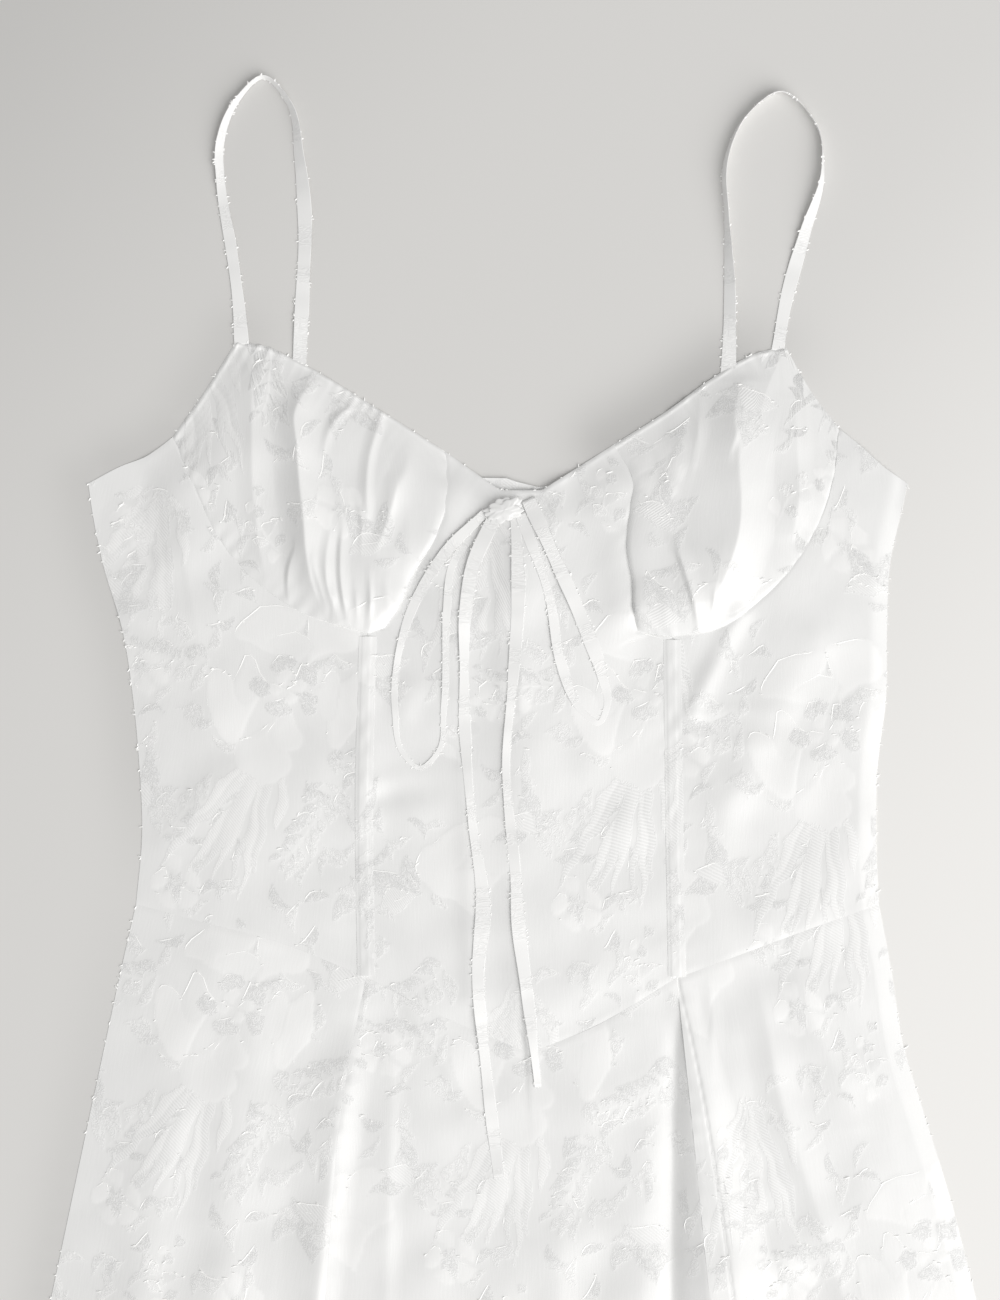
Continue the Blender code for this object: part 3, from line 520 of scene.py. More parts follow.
# Pleats: a crest through its stops, from the top down, as x, y and height. On both sides of the crest the
# cloth falls away over a width of its own, steepest beside the crest, and soft is how round the crest is.
Pleat = namedtuple("Pleat", "left right stops soft", defaults=(0.5,))
cupPleats = {
    "left": (
        Pleat(9, 11, ((-130.5, 266.5, 0.8), (-130.5, 242.5, 1.3), (-129.5, 202.5, 1.3),
              (-125.5, 172.5, 0.9), (-121.5, 152.5, 0.3))),
        Pleat(13, 15, ((-101.5, 261, 1.6), (-106, 253.5, 3), (-109, 246, 4), (-108, 232.5, 4.6),
              (-106.5, 212.5, 5.0), (-104.5, 195, 5.2), (-102.5, 172.5, 4.6), (-99.5, 158.5, 3.4),
              (-95, 148.5, 2.0), (-91.5, 142, 0.8))),
        Pleat(1.8, 6, ((-108.5, 178.5, 0.4), (-112, 167.5, 1.2), (-112.5, 157.5, 1.3),
              (-111.5, 149.5, 0.6))),
        Pleat(2, 3, ((-99.5, 171.5, 0.3), (-96.5, 160, 0.8), (-93.5, 149.5, 0.6))),
        Pleat(4, 5, ((-91, 187.5, 0.4), (-93, 175, 1.2), (-92.5, 160, 1.8), (-89.5, 149.5, 1.4),
              (-87, 142.5, 0.6))),
        Pleat(2, 5, ((-85, 189.5, 0.3), (-86, 177.5, 1.2), (-86, 165, 1.5), (-84.5, 152.5, 1.7),
              (-82.5, 142.5, 0.8))),
        Pleat(2.5, 6, ((-78, 203.5, 0.2), (-75.5, 192.5, 0.8), (-75.5, 179.5, 0.4))),
        Pleat(3.5, 4, ((-81.5, 249.5, 1), (-87.5, 244, 1.3), (-92, 236.5, 1), (-94.5, 226.5, 0.4))),
        Pleat(5, 4, ((-65.5, 246.5, 1), (-68.5, 236.5, 1.4), (-72, 222.5, 1.4), (-73, 202.5, 1.3),
              (-72, 189.5, 0.6))),
        Pleat(8, 9, ((-48, 235.5, 0.8), (-51, 227.5, 1.5), (-53.5, 217.5, 2.2), (-57.5, 209.5, 2.4),
              (-60.5, 198.5, 2.4), (-63.5, 189, 1.8), (-68, 178.5, 0.6))),
        Pleat(2.5, 7, ((-52.5, 193.5, 0.4), (-53, 180, 1.1), (-54.5, 165, 0.9), (-57.5, 151.5, 0.6))),
        Pleat(7, 5, ((-34, 225.5, 0.8), (-35, 212.5, 1.7), (-35.5, 197.5, 1.9), (-38.5, 185, 1.7),
              (-43, 175, 1.3), (-47.5, 165, 0.8), (-52.5, 153.5, 0.4))),
        Pleat(3, 3, ((-78.5, 158.5, 0.2), (-78, 149.5, 0.8), (-77.5, 141.5, 0.6))),
        Pleat(2.5, 2.5, ((-71.5, 164.5, 0.3), (-71, 152.5, 1.1), (-71.5, 141.5, 0.9))),
        Pleat(3, 2.5, ((-63.5, 161, 0.4), (-62.5, 151.5, 1.5), (-61.5, 142.5, 1))),
        Pleat(2, 3, ((-55, 157.5, 0.3), (-54.5, 146.5, 0.9))),
    ),
    "right": (
        Pleat(30, 18, ((115.5, 260.5, 1.4), (114, 247.5, 3.0), (112.5, 232.5, 4.2),
              (112.5, 217.5, 4.8), (113.5, 202.5, 5.0), (112.5, 187.5, 5.0), (108.5, 172.5, 4.4),
              (102.5, 157.5, 3.0), (97.5, 145.5, 1.2))),
        Pleat(13, 2.5, ((112.5, 255.5, 0.6), (110.5, 242.5, 1.4), (111, 236, 1.4), (108, 225.5, 0.5))),
        Pleat(11, 10, ((83, 252.5, 1.4), (83.5, 232.5, 2.1), (81.5, 217.5, 2.1), (78, 204, 0.9))),
        Pleat(4, 5, ((66.5, 228.5, 1), (65.5, 215, 1.4), (64.5, 202.5, 1.2), (63, 191.5, 0.6))),
        Pleat(2, 7, ((75.5, 193.5, 0.4), (79.5, 181.5, 1.2), (83.5, 172.5, 1.5), (87, 161.5, 1.5),
              (90, 151.5, 1.4), (92, 140.5, 0.8))),
        Pleat(7, 6, ((75.5, 158.5, 0.4), (76, 146.5, 1.6), (77, 136.5, 1.2))),
        Pleat(2.5, 3.5, ((65, 166.5, 0.4), (64, 152.5, 1.2), (65, 139.5, 1))),
        Pleat(1.8, 3, ((100, 154.5, 0.3), (100.5, 147.5, 0.9), (100, 140.5, 0.7))),
        Pleat(13, 9, ((141, 252.5, 0.4), (142, 227.5, 1), (142.5, 202.5, 1.2), (140, 186.5, 0.7))),
        Pleat(9, 6, ((93.5, 250.5, 0.5), (92.5, 237.5, 1), (89.5, 222.5, 0.6))),
        Pleat(5, 5, ((53.5, 226.5, 0.3), (51.5, 217.5, 0.8), (49.5, 203.5, 0.4))),
    ),
}
# How a cup's gathers run: shares of the seam below it, from the armhole, and of the neck edge above them
cupFlow = {
    "left": ((0, 0.70, 0.81, 0.87, 0.97, 1), (0, 0.23, 0.32, 0.48, 0.80, 1)),
    "right": ((0, 0.62, 0.80, 0.88, 1), (0, 0.06, 0.17, 0.55, 1)),
}
cup = {
    "puff": 7.0,
    "rise": 0.07,  # shares of the cup: from the seam below it, its armhole and its inner seam
    "outerRise": 0.34,
    "armholeRise": 0.34,
    "innerRise": 0.012,
    "innerFrom": 0.45,  # where across the cup its inner half starts, and over what share
    "innerOver": 0.3,
    "neckFall": 0.95,
    "pleats": 0.86,  # share of their heights in the table
    "seamGathers": 0.32,
    "neckGathers": 0.25,
    "overhang": 1.5,  # how far the puffed cloth hangs over its seams
    "overhangWidth": 2.2,
    "outerOverhang": 0.2,  # share of that on the outer half
    "endFade": 4.0,  # how far a pleat runs on past its ends
    "rowCrowding": 0.62,  # of the cells' rows at both ends
}
pleat = {
    "tuck": 14.0,
    "start": 16.0,
    "length": 90.0,
    "opening": 20.0,
    "valley": ((-765, -197.5, -100, -62.5, -36.5), (141.5, 79.7, 80.5, 82.2, 83.0)),  # its y, upwards, and x
    "valleyDepth": 1.3,
    "valleyWidth": 5.0,
    "slope": 0.37,  # of the middle gore, from the valley up to the edge that lies over it
    "width": 8.0,  # of the fall beyond the stitching along the edge, at the waist
    "widening": 0.1,
    "stitch": 14.0,  # how far in the stitching runs, most of it over a length below the waist
    "stitchLength": 100.0,
    "stitchDepth": 0.4,
    "stitchWidth": 0.7,
    "stitchWave": 1.1,
    "edgeLift": 0.4,  # of the folded edge at the waist
    "edgeLiftLength": 14.0,
    "clearance": 0.02,
}
cells = {"princess": 150, "foot": 10, "inner": 90, "half": 76, "outer": 216, "underbust": 12, "underarm": 16,
         "cupRows": 148, "skirtNear": 160, "skirtFar": 96, "skirtSplit": 215.0, "gore": 152, "back": 40}


def hemHeight(x):
    # the hem is an arc, its side corners above its middle
    middle = (dress["hemLeft"] + dress["hemRight"]) / 2
    return dress["hemMiddle"] + dress["hemRise"] * ((x - middle) / (dress["hemRight"] - middle)) ** 2


def hemEdge(start, end, count):
    # points along the hem's arc
    x = np.linspace(start, end, count + 1)
    return np.stack([x, hemHeight(x)], axis=1)


def foldHeight(x, y, folds):
    # the folds' bells added, each across the line between its ends and past them
    total = np.zeros(np.broadcast(x, y).shape)
    for f in folds:
        dx, dy = f.x1 - f.x0, f.y1 - f.y0
        length = math.hypot(dx, dy)
        t = ((x - f.x0) * dx + (y - f.y0) * dy) / length**2
        within = np.clip(t, 0, 1)
        beyond = (t - within) * length
        side = ((y - f.y0) * dx - (x - f.x0) * dy) / length - f.bow * 4 * within * (1 - within)
        width = (f.width0 + within * (f.width1 - f.width0)) * (1 + f.lean * np.tanh(side))
        tall = f.height0 + within * (f.height1 - f.height0)
        total += tall * np.exp(-(side**2 + beyond**2) / width**2)
    return total


# The skirt's pleats: those of the whole front, and those of one gore each
skirtPleats = {
    "front": (
        Pleat(19, 12, ((-76, -46, 0.1), (-80, -66, 1.0), (-84.5, -94, 1.9), (-89, -122, 2.4),
              (-93.5, -155, 2.6), (-98, -195, 2.9), (-107, -290, 3.6), (-130, -480, 4.0),
              (-152, -740, 4.5)), 2),
    ),
    "left": (
        Pleat(24, 16, ((-120, -30, 0.2), (-126, -90, 0.5), (-138, -160, 0.8), (-160, -260, 1.2),
              (-190, -480, 2.6)), 5),
    ),
    "middle": (
        Pleat(16, 7, ((-60, -60, 0.2), (-61, -90, 0.6), (-62, -130, 0.9), (-64, -190, 0.8),
              (-70, -300, 1.0)), 2),
        Pleat(5, 9, ((-56, -46, 0.2), (-44, -66, 0.5), (-30, -88, 0.4), (-24, -104, 0.2)), 1),
        Pleat(15, 20, ((43, -64, 0.2), (36, -106, 0.6), (29, -132, 0.7), (24, -190, 0.8),
              (20, -300, 1.6)), 3),
        Pleat(34, 16, ((67, -58, 0.2), (66, -90, 0.9), (65.5, -140, 1.5), (64, -197, 1.9),
              (74, -300, 3.0), (96, -500, 3.6), (122, -745, 3.6)), 5),
    ),
    "right": (
        Pleat(5, 7, ((98, -40, 0.2), (99.5, -56, 0.6), (99.5, -70, 0.4), (100, -84, 0.2)), 1),
        Pleat(12, 14, ((121, -36, 0.2), (126, -55, 0.9), (131, -85, 1.5), (139, -115, 1.4),
              (151, -150, 1.1), (166, -200, 1.2), (198, -400, 2.0), (240, -650, 3.0)), 1.5),
        Pleat(12, 12, ((141, -32, 0.2), (150, -58, 0.7), (162, -84, 0.7), (172, -110, 0.3)), 2),
        Pleat(22, 16, ((168, -40, 0.2), (184, -100, 0.4), (198, -160, 0.6), (215, -230, 0.8),
              (250, -420, 1.8)), 4),
    ),
}


def pleatHeight(x, y, pleats):
    # the pleats added: each is its crest's height times a power of one less the share of its width
    total = np.zeros(x.shape)
    for p in pleats:
        path = smoothPath(p.stops, even(40))[::-1]
        crest, tall = np.interp(y, path[:, 1], path[:, 0]), np.interp(y, path[:, 1], path[:, 2])
        slant = np.interp(y, path[:, 1], np.gradient(path[:, 0], path[:, 1]))
        side = (x - crest) / np.sqrt(1 + slant**2)
        beyond = np.maximum(0, np.maximum(path[0, 1] - y, y - path[-1, 1]))
        away = np.sqrt(side**2 + p.soft**2) - p.soft
        fall = np.clip(1 - away / np.where(side < 0, p.left, p.right), 0, None) ** 1.7
        total += tall * fall * bell(beyond, cup["endFade"])
    return total


rng = np.random.default_rng(7)
waves = {"count": 14, "shortest": 26.0, "longest": 95.0, "height": 0.20, "bend": 6.0, "bendLength": 2.3}
waveLengths = np.geomspace(waves["shortest"], waves["longest"], waves["count"])
waveTurns = rng.uniform(0, 2 * math.pi, waves["count"])
wavePhases = rng.uniform(0, 2 * math.pi, waves["count"])


def softWaves(x, y):
    # the slack of cloth that lies: sines of many lengths and directions, added
    total = np.zeros(np.broadcast(x, y).shape)
    for length, turn, phase in zip(waveLengths, waveTurns, wavePhases):
        aside = x * math.sin(turn) - y * math.cos(turn)
        bend = waves["bend"] * np.sin(2 * math.pi * aside / (waves["bendLength"] * length) + phase)
        along = x * math.cos(turn) + y * math.sin(turn) + bend
        tall = waves["height"] * (length / waves["longest"]) ** 0.7
        total += tall * np.sin(2 * math.pi * along / length + phase)
    return total


def sideX(y, column):
    # where the folded side lies at that height: column 1 is the left one, 2 the right one
    rows = np.array(skirtSides[:0:-1] + bodiceSides, float)
    return np.interp(y, rows[:, 0], rows[:, column])


def freeEdges():
    # points along the edges that no seam holds up, and how far the cloth drops there
    corners = np.array([cupNeckLeft, neckLeft, neckRight, cupNeckRight])
    neck = np.concatenate([np.linspace(a, b, 8) for a, b in zip(corners[:-1], corners[1:])])
    made = []
    edges = [edge + side for edge in ("neck", "armhole", "underarm") for side in ("Left", "Right")]
    for name in ["neck"] + edges:
        path = neck if name == "neck" else smoothPath(seams[name], even(24))
        drop = np.interp(path[:, 1], (212, 225), (dress["neckDrop"], dress["edgeDrop"]))
        if "neck" not in name:
            drop[:] = dress["edgeDrop"] if "armhole" in name else dress["underarmDrop"]
        made.append(np.concatenate([path, drop[:, None]], axis=1))
    return np.concatenate(made)


edgePoints = freeEdges()


def frontHeight(x, y):
    # the front's upper face: back, gap, air that runs out at the sides, its own wall, folds and slack
    left, right = sideX(y, 1), sideX(y, 2)
    across = np.clip((2 * x - left - right) / (right - left), -1, 1)
    near, drop = np.zeros(x.shape), np.zeros(x.shape)
    if np.max(y) > dress["edgeBelow"]:
        for px, py, fall in edgePoints:
            share = np.exp(-((x - px) ** 2 + (y - py) ** 2) / dress["edgeWidth"] ** 2)
            near, drop = np.maximum(near, share), np.maximum(drop, fall * share)
    air = (1 - across**6) * (1 - dress["edgeLoft"] * near) * (dress["loft"] + softWaves(x, y))
    flat = 2 * dress["wall"] + dress["gap"] - drop + air
    return flat + foldHeight(x, y, skirtFolds + bodiceFolds) + pleatHeight(x, y, skirtPleats["front"])


def bordered(grid, styles):
    # the height that each point gains or loses near the four borders: left, right, bottom, top
    along, aside = clothLengths(grid)
    away = (along, along[:, -1:] - along, aside, aside[-1:] - aside)
    run = (aside, aside, along, along)
    total = np.zeros(grid.shape[:2])
    for distance, beside, style in zip(away, run, styles):
        if style == "seam":
            uneven = 0.6 + 0.4 * ripple("seamDip", beside)
            total -= dress["seamDip"] * uneven * bell(distance, dress["seamDipWidth"])
            wobble = ripple("pucker", beside) * (0.6 + 0.4 * np.sin(beside / 9.3))
            total += dress["pucker"] * wobble * np.exp(-distance / dress["puckerWidth"])
        elif style == "over":
            uneven = 0.6 + 0.4 * ripple("waistDip", beside)
            total -= dress["waistDip"] * uneven * bell(distance, dress["waistDipWidth"])
        elif style == "side":
            width = dress["sideDropWidth"] if distance is along else dress["sideDropRight"]
            total -= dress["sideDrop"] * np.clip(1 - distance / width, 0, 1) ** 1.25
        elif style == "hem":
            bead = bell(distance - dress["beadPlace"], dress["beadWidth"])
            total += dress["hemBead"] * bead * (1 + 0.5 * ripple("hemBead", beside))
            total -= dress["hemEdge"] * bell(distance, dress["hemEdgeWidth"])
    return total


# Panels

def drawnIn(grid, distance):
    # the grid with its border moved in, which leaves a gap at the seam, or out where the distance is negative
    moved = grid.copy()
    for edge, inner in ((0, 1), (-1, -2)):
        step = grid[inner] - grid[edge]
        moved[edge] += step * (distance / np.linalg.norm(step, axis=1))[:, None]
    for edge, inner in ((0, 1), (-1, -2)):
        step = grid[:, inner] - grid[:, edge]
        moved[:, edge] += step * (distance / np.linalg.norm(step, axis=1))[:, None]
    return moved


def raised(plan, extra, styles):
    # a plan with the front's height, what a panel has of its own, and what its borders gain or lose
    plan = drawnIn(plan, -dress["seamLap"])
    height = frontHeight(plan[..., 0], plan[..., 1]) + extra + bordered(plan, styles)
    return withHeight(plan, np.maximum(height, dress["thinnest"]))


def bodiceSeams():
    # the points along the seams that neighbouring panels share; a cup's rows crowd at both ends
    outerShares = even(cells["outer"])
    outerShares = outerShares + 0.5 * outerShares * (1 - outerShares)
    cupShares = even(cells["cupRows"])
    cupShares = cupShares - cup["rowCrowding"] * np.sin(2 * math.pi * cupShares) / (2 * math.pi)
    made = {"cupShares": cupShares}
    for side, corner, foot in (("Left", underbustLeft, cupFootLeft), ("Right", underbustRight, cupFootRight)):
        made["outer" + side] = smoothPath(seams["outer" + side], outerShares)
        made["foot" + side] = np.linspace(corner, foot, cells["foot"] + 1)
        made["under" + side] = np.linspace(corner, foot, cells["underbust"] + 1)
        made["princess" + side] = smoothPath(seams["princess" + side], even(cells["princess"]))
    return made


def pointedWaist():
    # the waist seam of the middle, down to its point and up again
    half = even(cells["half"])
    return chain(smoothPath(seams["pointLeft"], half), smoothPath(seams["pointRight"], half))


def centrePanel(made):
    # a patch between the princess and inner seams, from the pointed waist up to the neck
    count = 2 * cells["half"]
    parts = (int(count * 6 / 16), int(count * 3 / 16))
    neck = chain(
        np.linspace(cupNeckLeft, neckLeft, parts[0] + 1),
        np.linspace(neckLeft, neckRight, parts[1] + 1),
        np.linspace(neckRight, cupNeckRight, count - sum(parts) + 1),
    )
    inner = even(cells["inner"])
    sides = [
        chain(made["princess" + side], made["foot" + side], smoothPath(seams["inner" + side], inner))
        for side in ("Left", "Right")
    ]
    rows = even(len(sides[0]) - 1)
    plan = patchGrid(pointedWaist(), neck, *sides, even(count), rows)
    return raised(plan, 0, ("seam", "seam", "over", "hem"))


def sidePanel(made, side):
    # a patch from the folded side to the princess seam, and up to the cup and the underarm
    rows, columns = even(cells["princess"]), even(cells["underarm"] + cells["outer"] // 2)
    edge = smoothPath([(getattr(row, side.lower()), row.y) for row in bodiceSides], rows)
    top = chain(smoothPath(seams["underarm" + side], even(cells["underarm"])), made["outer" + side][::2])
    bottom = smoothPath(seams["waist" + side], columns)
    pair, styles = (edge, made["princess" + side]), ("side", "seam")
    if side == "Right":
        top, pair, styles = top[::-1], pair[::-1], styles[::-1]
    return raised(patchGrid(bottom, top, *pair, columns, rows), 0, (*styles, "over", "over"))


def unitSteps(steps):
    # the same ways, one millimetre long
    return steps / np.linalg.norm(steps, axis=1)[:, None]


def upTo(share, pace):
    # grows from 0 at that pace and stays 1
    return np.minimum(1, pace * share)


def risen(distance, length):
    # rises from 0 towards 1, most of the way over that length
    return 1 - np.exp(-distance / length)


def cupPanel(made, side):
    # puffs up from its seams and hangs over them, comes down to the neck edge, and its gathers run over that
    name = side.lower()
    v = made["cupShares"]
    below = chain(made["outer" + side], made["under" + side])
    u = even(len(below) - 1)
    along = lengthsAlong(below)
    above = smoothPath(seams["neck" + side], np.interp(along / along[-1], *cupFlow[name]))
    armhole, innerSeam = [smoothPath(seams[edge + side], v) for edge in ("armhole", "inner")]
    plan = drawnIn(patchGrid(below, above, armhole, innerSeam, u, v), -dress["seamLap"])
    x, y = plan[..., 0].copy(), plan[..., 1].copy()
    acrossU, upV = u[None, :], v[:, None]
    inner = np.clip((acrossU - cup["innerFrom"]) / cup["innerOver"], 0, 1)
    rise = cup["outerRise"] + (cup["rise"] - cup["outerRise"]) * inner
    puff = cup["puff"] * risen(upV, rise) * (1 - cup["neckFall"] * upV)
    puff = puff * risen(acrossU, cup["armholeRise"]) * risen(1 - acrossU, cup["innerRise"])
    held = upTo(upV, 9) * upTo(1 - acrossU, 12)
    height = frontHeight(x, y) + puff + cup["pleats"] * held * pleatHeight(x, y, cupPleats[name])
    rowLength, columnLength = clothLengths(plan)
    height += smallGathers(rowLength, columnLength, columnLength[-1:] - columnLength, side)
    height = np.maximum(height, dress["lowestCup"]) + bordered(plan, ("hem", "seam", "seam", "hem"))

    def overhang(distance):
        near = distance / cup["overhangWidth"]
        return cup["overhang"] * near * np.exp(1 - near)

    started = upTo(acrossU, 9) * upTo(1 - acrossU, 30)
    started = started * (cup["outerOverhang"] + (1 - cup["outerOverhang"]) * inner)
    outwards = -unitSteps(plan[1] - plan[0])[None]
    plan = plan + outwards * (overhang(columnLength) * started)[..., None]
    inwards = unitSteps(plan[:, -1] - plan[:, -2])[:, None]
    ended = upTo(upV, 9) * upTo(1 - upV, 6)
    plan += inwards * (overhang(rowLength[:, -1:] - rowLength) * ended)[..., None]
    return withHeight(plan, height)


def smallGathers(along, fromSeam, fromNeck, side):
    # short creases where the cloth is gathered into the seam below the cup and along the neck edge
    drift = 0 if side == "Left" else 40
    seam = np.sin((along + drift) / 1.25 + 1.9 * np.sin(along / 13.0)) * (0.55 + 0.45 * np.sin(along / 7.7))
    neck = np.sin((along + drift) / 0.95 + 1.6 * np.sin(along / 10.0)) * (0.5 + 0.5 * np.sin(along / 8.6))
    total = cup["seamGathers"] * seam * np.exp(-fromSeam / 6.0) * risen(fromSeam, 1.5)
    return total + cup["neckGathers"] * neck * np.exp(-fromNeck / 7.5)


def skirtPanels():
    # the right gore's folded edge lies over the middle gore, which is tucked in under it
    drop = waistLeft[1] - dress["hemMiddle"]
    split = 1 - cells["skirtSplit"] / drop
    near, far = np.linspace(split, 1, cells["skirtNear"] + 1), np.linspace(0, split, cells["skirtFar"] + 1)
    up = chain(far, near)
    left, right = [
        smoothPath([(x, hemHeight(x) if y is None else y) for x, y in seams["gore" + side][::-1]], up)
        for side in ("Left", "Right")
    ]
    belowWaist = waistRight[1] - right[:, 1]
    tucked = right.copy()
    tucked[:, 0] += pleat["tuck"] * np.clip((belowWaist - pleat["start"]) / pleat["length"], 0, 1)
    tucked[0, 1] = hemHeight(tucked[0, 0])
    count = 2 * cells["half"]
    plan = patchGrid(hemEdge(left[0, 0], tucked[0, 0], count), pointedWaist(), left, tucked, even(count), up)
    x, y = plan[..., 0], plan[..., 1]
    # in the pleat the middle gore climbs from a sharp valley towards the edge that lies over it
    edgeX = np.interp(y, right[:, 1], right[:, 0])
    valley = np.interp(y, *pleat["valley"])
    opened = np.clip((waistRight[1] - pleat["start"] - y) / pleat["opening"], 0, 1)
    climb = pleat["slope"] * np.clip(x - valley, 0, np.maximum(edgeX - valley, 0)) * opened
    climb -= pleat["valleyDepth"] * opened * bell(x - valley, pleat["valleyWidth"])
    extra = climb + pleatHeight(x, y, skirtPleats["middle"])
    made = {"centre": raised(plan, extra, ("seam", "plain", "hem", "over"))}
    columns = even(cells["gore"])
    for name in ("left", "right"):
        side = smoothPath([(getattr(row, name), row.y) for row in skirtSides[::-1]], up)
        pair, styles = (side, left), ("side", "seam")
        if name == "right":
            pair, styles = (right, side), styles[::-1]
        hem = hemEdge(pair[0][0, 0], pair[1][0, 0], cells["gore"])
        plan = patchGrid(hem, smoothPath(seams["waist" + name.title()], columns), *pair, columns, up)
        x, y = plan[..., 0], plan[..., 1]
        extra = pleatHeight(x, y, skirtPleats[name])
        if name == "right":
            extra = foldHeight(x, y, (rightGoreFold,)) + extra
            # the folded edge lies over that climb, is stitched down a little inside, and falls away beyond
            fromEdge = x - x[:, :1]
            wide = np.maximum(right[:, 0] - np.interp(right[:, 1], *pleat["valley"]), 0)
            inside = pleat["stitch"] * risen(belowWaist, pleat["stitchLength"])[:, None]
            lifted = pleat["edgeLift"] + (pleat["slope"] - pleat["clearance"]) * wide
            lifted = (lifted * np.clip(belowWaist / pleat["edgeLiftLength"], 0, 1))[:, None]
            beyond = (fromEdge - inside) / (pleat["width"] + pleat["widening"] * belowWaist)[:, None]
            extra += lifted * np.cos(np.clip(beyond, 0, 1) * math.pi / 2) ** 2
            stitched = bell(fromEdge - inside, pleat["stitchWidth"])
            extra -= pleat["stitchDepth"] * stitched * (1 + 0.4 * np.sin(y / pleat["stitchWave"]))
        made[name] = raised(plan, extra, (*styles, "hem", "over"))
    return made


def backPanels():
    # four flat panels that the dress lies on, with a seam down the middle and one at the waist
    made = {}
    across, rows = even(cells["back"]), even(2 * cells["back"])
    middleX, neck = back["seam"], back["neck"]
    for name, order in (("left", 1), ("right", -1)):
        inside = order * back["inside"]
        side = smoothPath([(getattr(row, name) + inside, row.y) for row in bodiceSides], rows)
        middle = np.stack([np.full(len(rows), middleX), neck * rows], axis=1)
        pair = (side, middle)[::order]
        waist, top = [np.linspace(pair[0][i], pair[1][i], len(across)) for i in (0, -1)]
        top[:, 1] = np.interp(top[:, 0], *back["neckLine"])
        middle[:, 1] *= np.interp(middleX, *back["neckLine"]) / neck
        grid = drawnIn(patchGrid(waist, top, *pair, across, rows), back["bodiceGap"])
        # its neck edge is a thin ridge, and the cloth lies lower below it, in the front's shade
        below, shown = clothLengths(grid[::-1])[1][::-1], bell(grid[..., 0], back["shownHalf"], 4)
        height = back["height"] - back["dip"] * shown * bell(below, back["dipWidth"], 4)
        height += back["ridge"] * shown * bell(below, back["ridgeWidth"])
        beside = bell(np.abs(grid[..., 0] - side[:, None, 0]), back["sideWidth"])
        height -= back["sideDrop"] * np.maximum(beside, (1 - shown) * bell(below, back["topWidth"], 4))
        height += back["leftAbove"] * (name == "left")
        made["bodice_back_" + name] = withHeight(grid, height)
        side = smoothPath([(getattr(row, name) + inside, row.y) for row in skirtSides[::-1]], rows)
        middle = np.stack([np.full(len(rows), middleX), hemHeight(middleX) * (1 - rows)], axis=1)
        pair = (side, middle)[::order]
        hem = hemEdge(pair[0][0, 0], pair[1][0, 0], len(across) - 1)
        waist = np.linspace(pair[0][-1], pair[1][-1], len(across))
        grid = drawnIn(patchGrid(hem, waist, *pair, across, rows), back["skirtGap"])
        beside = bell(np.abs(grid[..., 0] - side[:, None, 0]), back["sideWidth"])
        made["skirt_back_" + name] = withHeight(grid, back["height"] - back["sideDrop"] * beside)
    return made


# The jacquard: one repeat of petals and leaves, shifted by half a repeat from column to column

repeat = {"wide": 186.0, "tall": 236.0}
# every blade is a petal or leaf: base x and y, the way it points, its length, width and bend, where along it
# the widest place is, its weave (0 smooth, 1 hatched), its tone, and whether an outline and a vein are drawn
Blade = namedtuple("Blade", "x y turn length width bend tip weave tone outline vein")


def placed(x, y, turn, size, parts):
    # blades sized, turned and moved to a place
    angle, made = math.radians(turn), []
    for p in parts:
        px, py = turnedBy(angle, p.x, p.y)
        made.append(p._replace(x=x + size * px, y=y + size * py, turn=p.turn + turn, length=p.length * size,
                               width=p.width * size, bend=p.bend * size))
    return made


def ring(count, start, out, length, width, bend, tip, weave, tone, outline=1, vein=0):
    # blades round a centre, each a little different from the last
    made = []
    for k in range(count):
        turn = start + 360.0 * k / count
        a = math.radians(turn)
        vary = 1 + 0.16 * math.sin(2.3 * k + start)
        made.append(Blade(out * math.cos(a), out * math.sin(a), turn + 9 * math.sin(3.1 * k + start),
                          length * vary, width * (2 - vary), bend * (-1) ** k, tip, weave,
                          tone * (1 - 0.35 * (k % 2)), outline, vein))
    return made


def arc(long, high, t):
    # a place on a stem that bends up by that height
    return long * t, high * 4 * t * (1 - t)


